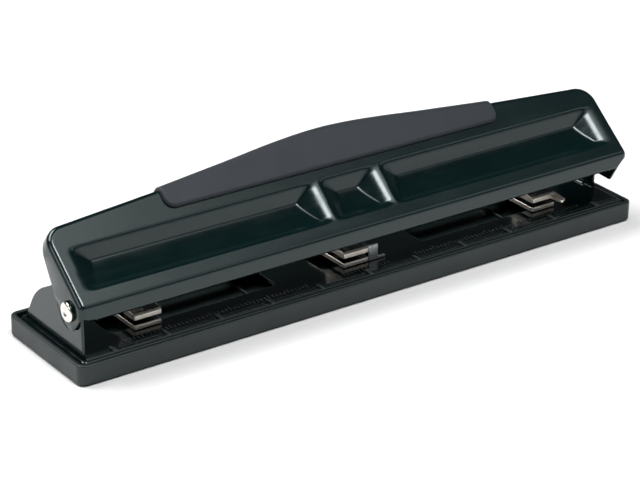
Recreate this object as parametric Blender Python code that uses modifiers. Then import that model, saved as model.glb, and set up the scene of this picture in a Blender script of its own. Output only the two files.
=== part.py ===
"""Desktop three-hole paper punch: a pressed steel lever on two rivets drives three spring-loaded pins.

Frame: +Z up, X along the length, the paper goes in from -Y. The origin is on the floor under the middle.
"""

import math

import bmesh
import bpy
from mathutils import Matrix, Vector

MM = 0.001
GAP = 0.3 * MM
OBJECT_NAME = "three_hole_punch"

# Chip tray: the plastic base cover.
TRAY_LENGTH = 300.0 * MM
TRAY_FRONT = -29.0 * MM
TRAY_BACK = 31.4 * MM
TRAY_HEIGHT = 9.5 * MM
TRAY_WALL = 2.2 * MM
TRAY_FLOOR = 1.8 * MM
TRAY_CORNER = 4.0 * MM
TRAY_ROUNDING = 0.7 * MM

# Base frame: one folded steel sheet, with a rim that drops into the tray and an ear at each end.
SHEET = 1.4 * MM
FRAME_HALF_LENGTH = 147.3 * MM
FRAME_HALF_DEPTH = 26.4 * MM
FRAME_TOP = 9.6 * MM
FRAME_SKIRT_BOTTOM = 4.4 * MM
EAR_INNER_X = 144.3 * MM
EAR_THICKNESS = 1.5 * MM
EAR_FOOT = FRAME_TOP - SHEET / 2
EAR_TOP = 35.6 * MM
EAR_BACK = 22.6 * MM
EAR_FRONT = -23.6 * MM
# The right ear is cut away above the paper, to a flat underside.
EAR_NOTCH_FRONT = -6.3 * MM
EAR_NOTCH_TOP = 18.0 * MM
RELIEF_WIDTH = 1.0 * MM
RELIEF_SPAN = (-6.2 * MM, -0.6 * MM)
FRAME_CORNER = 2.4 * MM
BEAD_RADIUS = 0.9 * MM
BEAD_INSET = 1.5 * MM
WINDOW_HALF_DEPTH = 9.6 * MM
OUTER_WINDOW = (40.0 * MM, 124.0 * MM)
CENTRE_WINDOW_HALF = 15.0 * MM
WINDOW_CORNER = 3.2 * MM
SCREW_SLOT_HALF_WIDTH = 1.9 * MM

# Punch heads, 4.25 in apart.
HEAD_PITCH = 108.0 * MM
HEAD_HALF_WIDTH = 6.7 * MM
HEAD_FRONT = -13.5 * MM
HEAD_BACK = 24.0 * MM
HEAD_WEB_FRONT = 11.0 * MM
HEAD_WEB_BACK = 14.6 * MM
DIE_BOTTOM = 9.9 * MM
DIE_TOP = 12.0 * MM
JAW_BOTTOM = 14.2 * MM
JAW_TOP = 17.3 * MM
TOWER_TOP = 21.4 * MM
TOWER_RADIUS = 5.6 * MM
HEAD_CHAMFER = 1.0 * MM
HEAD_FOOT_RISE = 1.0 * MM
HEAD_TRAVEL_SLOT = 55.0 * MM

# Punch pins for 7 mm holes.
PIN_RADIUS = 3.5 * MM
PIN_BORE_RADIUS = 3.58 * MM
PIN_TIP = 14.5 * MM
PIN_TOP = 35.0 * MM
PIN_DOME_RADIUS = 6.0 * MM
PIN_HOLLOW = 0.9 * MM
GROOVE_RADIUS = 2.7 * MM
GROOVE_BOTTOM = 31.0 * MM
GROOVE_TOP = 32.4 * MM
RING_INNER = 2.9 * MM
RING_OUTER = 5.9 * MM
RING_PLAY = 0.2 * MM
RING_HALF_MOUTH = math.radians(38)
SPRING_RADIUS = 4.75 * MM
SPRING_WIRE_RADIUS = 0.42 * MM
SPRING_TURNS = 4.5
SPRING_STEPS_PER_TURN = 18

# Clamp screws, which hold the heads on the frame.
CLAMP_Y = 19.4 * MM
CLAMP_SHANK_RADIUS = 1.5 * MM
CLAMP_HEAD_RADIUS = 3.1 * MM
CLAMP_HEAD_HEIGHT = 2.0 * MM
CLAMP_CROWN_RADIUS = 2.2 * MM
CLAMP_CROWN_DROP = 0.1 * MM
CLAMP_EDGE_RADIUS = 2.9 * MM
CLAMP_EDGE_DROP = 0.7 * MM
CLAMP_INSIDE_NUT = 0.2 * MM
NUT_HALF = 3.0 * MM
NUT_THICKNESS = 2.0 * MM
NUT_CORNER = 0.5 * MM

# Lever: section through the pressed handle. The face runs up and back from the crease.
CREASE_Y = -25.5 * MM
CREASE_Z = 33.9 * MM
FLANGE_BOTTOM = 27.0 * MM
FACE_SLOPE = math.radians(38.6)
HANDLE_HALF_LENGTH = 147.4 * MM
HANDLE_SHEET = 1.0 * MM
FACE_ROUNDING = 2.4 * MM
CREASE_ROUNDING = 2.2 * MM
FACE_CORNER = 9.0 * MM
LIP_DEPTH = 7.0 * MM
ARCH = ((0.0, 51.1), (10.0, 50.8), (30.0, 49.2), (50.0, 46.9), (70.0, 44.8), (92.0, 42.6))
ARCH_END = (147.4, 38.2)
PIVOT_Y = -16.3 * MM
PIVOT_Z = 29.2 * MM
LOBE_RADIUS = 8.5 * MM
LOBE_BACK_ANGLE = -28
SIDE_BACK_UP = 33.5 * MM
# Where the plane that takes off each lower front corner crosses the corner's edges: the side plate's
# front edge, the side plate's lower edge and the flange's lower edge, as (x, y, z).
LEFT_CORNER_CUT = ((-147.4, -25.5, 28.9), (-147.4, -21.6, 24.5), (-140.0, -25.5, 27.0))
RIGHT_CORNER_CUT = ((147.4, -25.1, 32.2), (147.4, -17.8, 21.5), (140.3, -25.5, 26.0))
CORNER_CUT_SIZE = 30.0 * MM

# Pressed recesses in the face: (inner half-span end, outer end) along X, and their band up the face.
RECESS_LOW = 7.2 * MM
RECESS_HIGH = 27.2 * MM
# The floor is flatter than the face, so a recess is deepest along its top.
RECESS_DEPTH = 5.2 * MM
RECESS_LOW_DEPTH = 2.2 * MM
RECESS_END_RUN = 9.0 * MM
RECESS_TOP_RUN = 5.6 * MM
RECESS_BOTTOM_RUN = 2.0 * MM
RECESS_CORNER = 6.0 * MM
LONG_RECESS = (18.2 * MM, 139.5 * MM)
SHORT_RECESS_HALF = 14.6 * MM

# Grip pad.
PAD_HALF_LENGTH = 89.6 * MM
PAD_LOW = 32.2 * MM
PAD_THICKNESS = 2.0 * MM
PAD_WRAP = 1.2 * MM
PAD_CORNER = 5.0 * MM
PAD_LIP = 5.5 * MM

# Presser bar inside the lever.
PRESSER_HALF_LENGTH = 128.0 * MM
PRESSER_SHEET = 1.4 * MM
PRESSER_HALF_DEPTH = 5.5 * MM
PRESSER_WEB_Y = 0.4 * MM

# Pointer on the right head, and the upright gauge tab beside the centre head.
POINTER_BOTTOM = 14.9 * MM
POINTER_THICKNESS = 1.2 * MM
TAB_SPAN = (7.0 * MM, 12.0 * MM)
TAB_FOOT_END = 16.2 * MM
TAB_TOP = 17.2 * MM
TAB_FRONT = -13.5 * MM
TAB_SHEET = 1.1 * MM

# Pivot rivets.
RIVET_SHANK_RADIUS = 3.0 * MM
RIVET_BORE_RADIUS = 3.08 * MM
RIVET_HEAD_RADIUS = 5.0 * MM
RIVET_HEAD_HEIGHT = 2.0 * MM
# The head's shape as radius and drop below its crown: a dish, its lip, the dome and the rounded edge.
RIVET_HEAD_SHAPE = (
    (0.0, 0.7 * MM),
    (1.3 * MM, 0.6 * MM),
    (2.2 * MM, 0.0),
    (3.4 * MM, 0.12 * MM),
    (4.4 * MM, 0.45 * MM),
    (RIVET_HEAD_RADIUS, 1.1 * MM),
)
RIVET_TAIL_RADIUS = 4.4 * MM
RIVET_TAIL_HEIGHT = 1.0 * MM
RIVET_TAIL_BEVEL = 0.6 * MM
RIVET_CLEARANCE = 0.1 * MM

COLOURS = {
    "tray_plastic": ((0.022, 0.024, 0.025), 0.42, 0.0),
    "frame_enamel": ((0.012, 0.016, 0.017), 0.22, 0.2),
    "lever_enamel": ((0.014, 0.022, 0.023), 0.18, 0.2),
    "pad_foam": ((0.13, 0.13, 0.14), 0.85, 0.0),
    "nickel": ((0.78, 0.76, 0.72), 0.22, 1.0),
    "pin_steel": ((0.62, 0.63, 0.64), 0.28, 1.0),
    "spring_steel": ((0.5, 0.5, 0.52), 0.3, 1.0),
    "rivet_nickel": ((0.86, 0.84, 0.8), 0.16, 1.0),
    "zinc": ((0.6, 0.62, 0.63), 0.35, 1.0),
}


def clear_scene():
    for obj in list(bpy.data.objects):
        bpy.data.objects.remove(obj, do_unlink=True)


def make_collections():
    parts = bpy.data.collections.new(OBJECT_NAME)
    cutters = bpy.data.collections.new("cutters")
    bpy.context.scene.collection.children.link(parts)
    bpy.context.scene.collection.children.link(cutters)
    cutters.hide_render = True
    return parts, cutters


def material(name):
    found = bpy.data.materials.get(name)
    if found:
        return found
    colour, roughness, metallic = COLOURS[name]
    made = bpy.data.materials.new(name)
    made.use_nodes = True
    shader = made.node_tree.nodes["Principled BSDF"]
    shader.inputs["Base Color"].default_value = (*colour, 1.0)
    shader.inputs["Roughness"].default_value = roughness
    shader.inputs["Metallic"].default_value = metallic
    return made


def fillet(corners, steps=5):
    """A closed outline from (u, v, radius) corners, each rounded by an arc of that radius."""
    outline = []
    count = len(corners)
    for i, (u, v, radius) in enumerate(corners):
        here = Vector((u, v))
        if radius <= 0:
            outline.append(here)
            continue
        before = (Vector(corners[i - 1][:2]) - here).normalized()
        after = (Vector(corners[(i + 1) % count][:2]) - here).normalized()
        half = before.angle(after) / 2
        centre = here + (before + after).normalized() * (radius / math.sin(half))
        reach = radius / math.tan(half)
        first = here + before * reach - centre
        last = here + after * reach - centre
        turn = first.angle_signed(last)
        for step in range(steps + 1):
            outline.append(centre + Matrix.Rotation(-turn * step / steps, 2) @ first)
    return outline


def rectangle(low_u, high_u, low_v, high_v, radius, steps=5):
    return fillet(
        ((low_u, low_v, radius), (high_u, low_v, radius), (high_u, high_v, radius), (low_u, high_v, radius)),
        steps,
    )


def circle(centre_u, centre_v, radius, count=32):
    return [
        Vector((centre_u + radius * math.cos(a), centre_v + radius * math.sin(a)))
        for a in (2 * math.pi * k / count for k in range(count))
    ]


FLAT = Matrix.Identity(4)
# Local x, y, z run along world X, Z, -Y.
FACING = Matrix.Rotation(math.pi / 2, 4, "X")
# Local x, y, z run along world Y, Z, X.
ACROSS = Matrix(((0, 0, 1, 0), (1, 0, 0, 0), (0, 1, 0, 0), (0, 0, 0, 1)))
UP_FACE = Vector((0, math.cos(FACE_SLOPE), math.sin(FACE_SLOPE)))
OUT_OF_FACE = Vector((0, -math.sin(FACE_SLOPE), math.cos(FACE_SLOPE)))
# Local x, y, z run along world X, up the lever's face from the crease, and out of the face.
ON_FACE = Matrix((
    (1, 0, 0, 0),
    (0, UP_FACE.y, OUT_OF_FACE.y, CREASE_Y),
    (0, UP_FACE.z, OUT_OF_FACE.z, CREASE_Z),
    (0, 0, 0, 1),
))


def mesh_object(name, mesh, where):
    obj = bpy.data.objects.new(name, mesh)
    where.objects.link(obj)
    if where.name == "cutters":
        obj.display_type = "WIRE"
        obj.hide_render = True
    return obj


def curve_to_mesh(name, curve, placing):
    """The curve's evaluated shape as a closed mesh, placed by a matrix. The curve is removed."""
    holder = bpy.data.objects.new(name + "_curve", curve)
    bpy.context.scene.collection.objects.link(holder)
    graph = bpy.context.evaluated_depsgraph_get()
    mesh = bpy.data.meshes.new_from_object(holder.evaluated_get(graph))
    bpy.data.objects.remove(holder, do_unlink=True)
    mesh.transform(placing)
    made = bmesh.new()
    made.from_mesh(mesh)
    bmesh.ops.remove_doubles(made, verts=made.verts, dist=1e-6)
    bmesh.ops.recalc_face_normals(made, faces=made.faces)
    made.to_mesh(mesh)
    made.free()
    mesh.name = name
    return mesh


def slab(name, loops, low, high, placing, where):
    """A flat piece from closed outlines, the first outside and the rest its holes, along local z."""
    curve = bpy.data.curves.new(name, "CURVE")
    curve.dimensions = "2D"
    curve.fill_mode = "BOTH"
    curve.extrude = (high - low) / 2
    for loop in loops:
        spline = curve.splines.new("POLY")
        spline.points.add(len(loop) - 1)
        for point, (u, v) in zip(spline.points, loop):
            point.co = (u, v, 0, 1)
        spline.use_cyclic_u = True
    lifted = placing @ Matrix.Translation((0, 0, (high + low) / 2))
    return mesh_object(name, curve_to_mesh(name, curve, lifted), where)


def domed_slab(name, outline, low, high, rounding, placing, where, steps=3):
    """A prism whose upper face has rounded edges: rings of the outline, each drawn in by an arc's amount."""
    rings = [(low, 0.0)]
    for step in range(steps + 1):
        a = math.pi / 2 * step / steps
        rings.append((high - rounding * (1 - math.sin(a)), rounding * (1 - math.cos(a))))
    made = bmesh.new()
    loops = []
    for height, inset in rings:
        loops.append([made.verts.new((u, v, height)) for u, v in drawn_in(outline, inset)])
    for lower, upper in zip(loops, loops[1:]):
        for i in range(len(lower)):
            j = (i + 1) % len(lower)
            made.faces.new((lower[i], lower[j], upper[j], upper[i]))
    made.faces.new(reversed(loops[0]))
    made.faces.new(loops[-1])
    bmesh.ops.recalc_face_normals(made, faces=made.faces)
    made.transform(placing)
    mesh = bpy.data.meshes.new(name)
    made.to_mesh(mesh)
    made.free()
    return mesh_object(name, mesh, where)


def drawn_in(outline, inset):
    """The outline moved inwards by the inset, point by point, along the bisector of its two sides."""
    if inset == 0:
        return [tuple(p) for p in outline]
    count = len(outline)
    area = sum(outline[i - 1].cross(outline[i]) for i in range(count))
    side = 1 if area > 0 else -1
    moved = []
    for i, here in enumerate(outline):
        back = (here - outline[i - 1]).normalized()
        on = (outline[(i + 1) % count] - here).normalized()
        normal = (Vector((-back.y, back.x)) + Vector((-on.y, on.x))) * side
        normal.normalize()
        spread = max(normal.dot(Vector((-on.y, on.x)) * side), 0.3)
        moved.append(tuple(here + normal * inset / spread))
    return moved


def turned(name, profile, placing, where, segments=32):
    """A turned piece from an (r, z) profile that runs down its outer side and closes on the axis."""
    mesh = bpy.data.meshes.new(name)
    made = bmesh.new()
    verts = [made.verts.new((r, 0, z)) for r, z in profile]
    for a, b in zip(verts, verts[1:]):
        made.edges.new((a, b))
    made.to_mesh(mesh)
    made.free()
    obj = mesh_object(name, mesh, where)
    screw = obj.modifiers.new("turn", "SCREW")
    screw.axis = "Z"
    screw.angle = 2 * math.pi
    screw.steps = segments
    screw.render_steps = segments
    screw.use_merge_vertices = True
    screw.merge_threshold = 1e-6
    obj.matrix_world = placing
    return obj


def boolean(obj, other, operation):
    modifier = obj.modifiers.new(operation.lower() + "_" + other.name, "BOOLEAN")
    modifier.operation = operation
    modifier.object = other
    modifier.solver = "EXACT"
    return modifier


def bevel(obj, width, segments=2, degrees=35):
    modifier = obj.modifiers.new("rounding", "BEVEL")
    modifier.width = width
    modifier.segments = segments
    modifier.limit_method = "ANGLE"
    modifier.angle_limit = math.radians(degrees)


def bake(obj):
    """Turns the object's modifiers into plain mesh, so that its origin can move and others can cut it."""
    graph = bpy.context.evaluated_depsgraph_get()
    mesh = bpy.data.meshes.new_from_object(obj.evaluated_get(graph))
    old = obj.data
    obj.modifiers.clear()
    obj.data = mesh
    mesh.name = obj.name
    if old.users == 0:
        bpy.data.meshes.remove(old)


def drop_helpers(cutters):
    for obj in list(cutters.objects):
        bpy.data.objects.remove(obj, do_unlink=True)


def finish(obj, colour, origin=(0, 0, 0), smooth=False):
    """Gives the piece its material and moves its origin without moving its shape."""
    bake(obj)
    offset = Vector(origin)
    obj.data.transform(Matrix.Translation(-offset) @ obj.matrix_world)
    obj.matrix_world = Matrix.Translation(offset)
    obj.data.materials.clear()
    obj.data.materials.append(material(colour))
    for polygon in obj.data.polygons:
        polygon.use_smooth = smooth
    return obj


def build_tray(parts, cutters):
    half_x = TRAY_LENGTH / 2
    outline = rectangle(-half_x, half_x, TRAY_FRONT, TRAY_BACK, TRAY_CORNER)
    tray = slab("chip_tray", [outline], 0, TRAY_HEIGHT, FLAT, parts)
    bevel(tray, TRAY_ROUNDING, 2, 60)
    wall = TRAY_WALL
    hollow = rectangle(
        wall - half_x, half_x - wall, TRAY_FRONT + wall, TRAY_BACK - wall, TRAY_CORNER - wall / 2
    )
    cutter = slab("tray_hollow", [hollow], TRAY_FLOOR, 2 * TRAY_HEIGHT, FLAT, cutters)
    boolean(tray, cutter, "DIFFERENCE")
    return finish(tray, "tray_plastic", (0, 0, TRAY_HEIGHT))


def ear_outline(side):
    """An ear's outline in Y and Z: an upright front, a level top and a convex back down to the sheet."""
    if side == "left":
        front = [(EAR_FRONT, EAR_FOOT, 0)]
    else:
        front = [
            (EAR_NOTCH_FRONT, EAR_FOOT, 0),
            (EAR_NOTCH_FRONT, EAR_NOTCH_TOP, 3.0 * MM),
            (-17.6 * MM, EAR_NOTCH_TOP - 0.4 * MM, 0.6 * MM),
            (-22.8 * MM, EAR_NOTCH_TOP + 9.0 * MM, 3.0 * MM),
        ]
    return fillet(front + [
        (-EAR_BACK, EAR_TOP, 6.4 * MM),
        (-2.5 * MM, EAR_TOP, 9.0 * MM),
        (14.2 * MM, 26.4 * MM, 26.0 * MM),
        (22.4 * MM, 11.6 * MM, 0),
        (EAR_BACK, EAR_FOOT, 0),
    ], 6)


def window_outlines():
    low, high = OUTER_WINDOW
    deep = WINDOW_HALF_DEPTH
    spans = ((-high, -low), (-CENTRE_WINDOW_HALF, CENTRE_WINDOW_HALF), (low, high))
    return [rectangle(first, last, -deep, deep, WINDOW_CORNER) for first, last in spans]


def relief_outlines():
    """The short slot in the sheet along each ear's fold."""
    front, back = RELIEF_SPAN
    inner, outer = EAR_INNER_X - RELIEF_WIDTH, EAR_INNER_X + EAR_THICKNESS / 2
    return [
        rectangle(-outer, -inner, front, back, 0),
        rectangle(inner, outer, front, back, 0),
    ]


def slot_outlines():
    slots = []
    reach = SCREW_SLOT_HALF_WIDTH
    spare = 0.6 * MM
    spans = (
        (-HEAD_PITCH - spare, -HEAD_PITCH + HEAD_TRAVEL_SLOT + spare),
        (-spare, spare),
        (HEAD_PITCH - HEAD_TRAVEL_SLOT - spare, HEAD_PITCH + spare),
    )
    for low, high in spans:
        slots.append(rectangle(low - reach, high + reach, CLAMP_Y - reach, CLAMP_Y + reach, reach * 0.98, 6))
    return slots


def build_frame(parts, cutters):
    """The folded sheet: a shallow inverted pan with windows and slots, two ears and a front bead."""
    half_x, half_y = FRAME_HALF_LENGTH, FRAME_HALF_DEPTH
    pan = rectangle(-half_x, half_x, -half_y, half_y, FRAME_CORNER)
    frame = slab("base_frame", [pan], FRAME_SKIRT_BOTTOM, FRAME_TOP, FLAT, parts)
    inside = rectangle(SHEET - half_x, half_x - SHEET, SHEET - half_y, half_y - SHEET, FRAME_CORNER - SHEET)
    hollow = slab("frame_hollow", [inside], 0, FRAME_TOP - SHEET, FLAT, cutters)
    boolean(frame, hollow, "DIFFERENCE")
    for number, outline in enumerate(window_outlines() + slot_outlines() + relief_outlines()):
        hole = slab(f"frame_hole_{number}", [outline], 0, 2 * FRAME_TOP, FLAT, cutters)
        boolean(frame, hole, "DIFFERENCE")
    for side, low in (("left", -EAR_INNER_X - EAR_THICKNESS), ("right", EAR_INNER_X)):
        ear_loops = [ear_outline(side), circle(PIVOT_Y, PIVOT_Z, RIVET_BORE_RADIUS)]
        ear = slab(f"ear_{side}", ear_loops, low, low + EAR_THICKNESS, ACROSS, cutters)
        boolean(frame, ear, "UNION")
    bead = slab(
        "front_bead",
        [circle(BEAD_INSET - half_y, FRAME_TOP, BEAD_RADIUS, 14)],
        -EAR_INNER_X - EAR_THICKNESS / 2,
        EAR_INNER_X + EAR_THICKNESS / 2,
        ACROSS,
        cutters,
    )
    boolean(frame, bead, "UNION")
    return finish(frame, "frame_enamel")


def arch_outline(grow=0.0, below=60.0 * MM):
    """The face's outline up the slope: an arched top with rounded corners, grown on every side."""
    half = HANDLE_HALF_LENGTH + grow
    right = [(u * MM, v * MM + grow, 0) for u, v in ARCH]
    end = (half, ARCH_END[1] * MM + grow, FACE_CORNER + grow)
    left = [(-u, v, r) for u, v, r in reversed(right[1:])]
    corners = [(-half, -below, 0), (-half, end[1], end[2]), *left, *right, end, (half, -below, 0)]
    return fillet(corners)


def face_point(up, out):
    """(y, z) of a point up the face from the crease and out from it."""
    place = Vector((0, CREASE_Y, CREASE_Z)) + UP_FACE * up + OUT_OF_FACE * out
    return place.y, place.z


def section_outline(inset, open_below):
    """The lever's side outline. Inset moves the skin inwards; open_below carries the inside past the rim."""
    bisector = math.tan((math.pi / 2 - FACE_SLOPE) / 2)
    crease_y = CREASE_Y + inset
    crease_z = CREASE_Z - inset * bisector
    top = face_point(70 * MM, -inset)
    if open_below:
        under = face_point(70 * MM, -40 * MM)
        return fillet((
            (crease_y, FLANGE_BOTTOM - 20 * MM, 0),
            (crease_y, crease_z, CREASE_ROUNDING - inset),
            (*top, 0),
            (*under, 0),
            (60 * MM, FLANGE_BOTTOM - 20 * MM, 0),
        ))
    lip = face_point(70 * MM, -LIP_DEPTH)
    # The lip's underside, followed down to where the side plate's back edge leaves it.
    meet = face_point(SIDE_BACK_UP, -LIP_DEPTH)
    angles = [math.radians(LOBE_BACK_ANGLE - 13 * k) for k in range(10)]
    lobe = [(PIVOT_Y + LOBE_RADIUS * math.cos(a), PIVOT_Z + LOBE_RADIUS * math.sin(a), 0) for a in angles]
    return fillet((
        (crease_y, FLANGE_BOTTOM, 0),
        (crease_y, crease_z, CREASE_ROUNDING),
        (*top, 0),
        (*lip, 0),
        (*meet, 3 * MM),
        *lobe,
    ))


def recess_outlines(grow):
    """Rim and floor of each pressed recess, on the face."""
    low, high = LONG_RECESS
    spans = ((-high, -low), (-SHORT_RECESS_HALF, SHORT_RECESS_HALF), (low, high))
    pairs = []
    for first, last in spans:
        rim = rectangle(
            first - grow, last + grow, RECESS_LOW - grow, RECESS_HIGH + grow, RECESS_CORNER + grow, 4
        )
        low_run = RECESS_END_RUN * RECESS_LOW_DEPTH / RECESS_DEPTH
        low_v, high_v = RECESS_LOW + RECESS_BOTTOM_RUN - grow, RECESS_HIGH - RECESS_TOP_RUN + grow
        corner = 1.4 * MM + grow
        floor = fillet((
            (first + low_run - grow, low_v, corner),
            (last - low_run + grow, low_v, corner),
            (last - RECESS_END_RUN + grow, high_v, corner),
            (first + RECESS_END_RUN - grow, high_v, corner),
        ), 4)
        pairs.append((rim, floor))
    return pairs


def corner_cutter(name, crossings, where):
    """A cube with a face on the plane through three points, the rest of it outside the lever's corner."""
    first, second, third = (Vector(point) * MM for point in crossings)
    outward = (second - first).cross(third - first).normalized()
    if outward.z > 0:
        outward.negate()
    made = bmesh.new()
    bmesh.ops.create_cube(made, size=CORNER_CUT_SIZE)
    middle = (first + second + third) / 3 + outward * (CORNER_CUT_SIZE / 2)
    made.transform(Matrix.Translation(middle) @ outward.to_track_quat("Z", "Y").to_matrix().to_4x4())
    mesh = bpy.data.meshes.new(name)
    made.to_mesh(mesh)
    made.free()
    return mesh_object(name, mesh, where)


def tub(name, rim, floor, top, extra, where):
    """A solid from the rim outline, at a height above the face, down to the tilted floor."""
    low = RECESS_LOW + RECESS_BOTTOM_RUN
    tilt = (RECESS_DEPTH - RECESS_LOW_DEPTH) / (RECESS_HIGH - RECESS_TOP_RUN - low)
    made = bmesh.new()
    upper = [made.verts.new((u, v, top)) for u, v in rim]
    lower = [made.verts.new((u, v, -RECESS_LOW_DEPTH - tilt * (v - low) - extra)) for u, v in floor]
    for i in range(len(upper)):
        j = (i + 1) % len(upper)
        made.faces.new((lower[i], lower[j], upper[j], upper[i]))
    made.faces.new(upper)
    made.faces.new(reversed(lower))
    bmesh.ops.recalc_face_normals(made, faces=made.faces)
    made.transform(ON_FACE)
    mesh = bpy.data.meshes.new(name)
    made.to_mesh(mesh)
    made.free()
    return mesh_object(name, mesh, where)


def build_handle(parts, cutters):
    """The pressed lever: a rounded wedge's skin with recesses in its face and a bore at each pivot."""
    wide = HANDLE_HALF_LENGTH * 1.1
    handle = domed_slab(
        "lever_handle", arch_outline(), -50 * MM, 0, FACE_ROUNDING, ON_FACE, parts
    )
    outside = slab("lever_section", [section_outline(0, False)], -wide, wide, ACROSS, cutters)
    boolean(handle, outside, "INTERSECT")
    inner = domed_slab(
        "lever_inside",
        arch_outline(-HANDLE_SHEET),
        -60 * MM,
        -HANDLE_SHEET,
        FACE_ROUNDING - HANDLE_SHEET,
        ON_FACE,
        cutters,
    )
    inner_section = slab(
        "lever_inside_section", [section_outline(HANDLE_SHEET, True)], -wide, wide, ACROSS, cutters
    )
    boolean(inner, inner_section, "INTERSECT")
    bake(inner)
    boolean(handle, inner, "DIFFERENCE")
    for number, (rim, floor) in enumerate(recess_outlines(HANDLE_SHEET)):
        shell = tub(f"recess_shell_{number}", rim, floor, -HANDLE_SHEET / 2, HANDLE_SHEET, cutters)
        boolean(handle, shell, "UNION")
    for number, (rim, floor) in enumerate(recess_outlines(0)):
        hollow = tub(f"recess_hollow_{number}", rim, floor, 0.01 * MM, 0, cutters)
        boolean(handle, hollow, "DIFFERENCE")
    bore = slab("lever_bore", [circle(PIVOT_Y, PIVOT_Z, RIVET_BORE_RADIUS)], -wide, wide, ACROSS, cutters)
    boolean(handle, bore, "DIFFERENCE")
    for side, crossings in (("left", LEFT_CORNER_CUT), ("right", RIGHT_CORNER_CUT)):
        boolean(handle, corner_cutter(f"corner_cutter_{side}", crossings, cutters), "DIFFERENCE")
    return finish(handle, "lever_enamel", (0, PIVOT_Y, PIVOT_Z))


def pad_outline():
    top = [(u * MM, v * MM + PAD_WRAP, 0) for u, v in ARCH if u * MM < PAD_HALF_LENGTH - 4 * MM]
    first, second = ARCH[-2], ARCH[-1]
    half = PAD_HALF_LENGTH
    share = (half / MM - first[0]) / (second[0] - first[0])
    end = (half, (first[1] + share * (second[1] - first[1])) * MM + PAD_WRAP, 2.0 * MM)
    left = [(-u, v, r) for u, v, r in reversed(top[1:])]
    corners = [
        (-half, PAD_LOW, PAD_CORNER),
        (-half, end[1], end[2]),
        *left,
        *top,
        end,
        (half, PAD_LOW, PAD_CORNER),
    ]
    return fillet(corners)


def build_pad(parts, cutters):
    """The soft pad lies on the face and wraps over the lever's top edge."""
    pad = domed_slab("grip_pad", pad_outline(), -PAD_LIP, PAD_THICKNESS, 1.0 * MM, ON_FACE, parts)
    metal = domed_slab(
        "pad_seat",
        arch_outline(GAP),
        -40 * MM,
        GAP,
        FACE_ROUNDING,
        ON_FACE,
        cutters,
    )
    boolean(pad, metal, "DIFFERENCE")
    return finish(pad, "pad_foam", (0, PIVOT_Y, PIVOT_Z))


def build_presser(parts):
    """A bent strip inside the lever. Its flat foot runs over all the pins, wherever the heads are set."""
    foot_bottom = PIN_TOP + GAP
    half = PRESSER_SHEET / 2
    # The web's top edge follows the underside of the face.
    slope = math.tan(FACE_SLOPE)
    skin = (HANDLE_SHEET + GAP) / math.cos(FACE_SLOPE)

    def under_face(y):
        return CREASE_Z + (y - CREASE_Y) * slope - skin

    back, front = PRESSER_WEB_Y + half, PRESSER_WEB_Y - half
    section = [
        Vector((-PRESSER_HALF_DEPTH, foot_bottom)),
        Vector((PRESSER_HALF_DEPTH, foot_bottom)),
        Vector((PRESSER_HALF_DEPTH, foot_bottom + PRESSER_SHEET)),
        Vector((back, foot_bottom + PRESSER_SHEET)),
        Vector((back, under_face(back))),
        Vector((front, under_face(front))),
        Vector((front, foot_bottom + PRESSER_SHEET)),
        Vector((-PRESSER_HALF_DEPTH, foot_bottom + PRESSER_SHEET)),
    ]
    presser = slab(
        "presser_bar", [section], -PRESSER_HALF_LENGTH, PRESSER_HALF_LENGTH, ACROSS, parts
    )
    return finish(presser, "zinc", (0, PIVOT_Y, PIVOT_Z))


def build_head(name, x, parts, cutters):
    """A C-shaped head: die plate below, throat for the paper, jaw and guide tower above, foot behind."""
    half = HEAD_HALF_WIDTH
    section = [
        Vector((HEAD_FRONT, DIE_BOTTOM)),
        Vector((HEAD_BACK, DIE_BOTTOM)),
        Vector((HEAD_BACK, DIE_TOP + HEAD_FOOT_RISE)),
        Vector((HEAD_WEB_BACK, DIE_TOP + HEAD_FOOT_RISE)),
        Vector((HEAD_WEB_BACK, JAW_TOP)),
        Vector((HEAD_FRONT + HEAD_CHAMFER, JAW_TOP)),
        Vector((HEAD_FRONT, JAW_TOP - HEAD_CHAMFER)),
        Vector((HEAD_FRONT, JAW_BOTTOM + 0.3 * MM)),
        Vector((HEAD_FRONT + 0.8 * MM, JAW_BOTTOM)),
        Vector((HEAD_WEB_FRONT, JAW_BOTTOM)),
        Vector((HEAD_WEB_FRONT, DIE_TOP)),
        Vector((HEAD_FRONT, DIE_TOP)),
    ]
    head = slab(name, [section], x - half, x + half, ACROSS, parts)
    tower = slab(
        name + "_tower", [circle(x, 0, TOWER_RADIUS)], JAW_TOP - 1 * MM, TOWER_TOP, FLAT, cutters
    )
    boolean(head, tower, "UNION")
    bore = slab(name + "_bore", [circle(x, 0, PIN_BORE_RADIUS)], 0, 2 * TOWER_TOP, FLAT, cutters)
    boolean(head, bore, "DIFFERENCE")
    hole = slab(
        name + "_screw_hole",
        [circle(x, CLAMP_Y, CLAMP_SHANK_RADIUS + GAP / 2, 20)],
        0,
        2 * TOWER_TOP,
        FLAT,
        cutters,
    )
    boolean(head, hole, "DIFFERENCE")
    return finish(head, "nickel", (x, 0, DIE_BOTTOM))


def build_pin(name, x, parts):
    """A turned pin with a domed top, a groove for its ring and a hollow-ground cutting end."""
    edge = math.asin(PIN_RADIUS / PIN_DOME_RADIUS)
    dome = [
        (PIN_DOME_RADIUS * math.sin(a), PIN_TOP - PIN_DOME_RADIUS * (1 - math.cos(a)))
        for a in (edge * k / 4 for k in range(5))
    ]
    dome[0] = (0.0, PIN_TOP)
    profile = dome + [
        (PIN_RADIUS, GROOVE_TOP),
        (GROOVE_RADIUS, GROOVE_TOP),
        (GROOVE_RADIUS, GROOVE_BOTTOM),
        (PIN_RADIUS, GROOVE_BOTTOM),
        (PIN_RADIUS, PIN_TIP),
        (0.0, PIN_TIP + PIN_HOLLOW),
    ]
    pin = turned(name, profile, Matrix.Translation((x, 0, 0)), parts)
    return finish(pin, "pin_steel", (x, 0, PIN_TIP), True)


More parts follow.
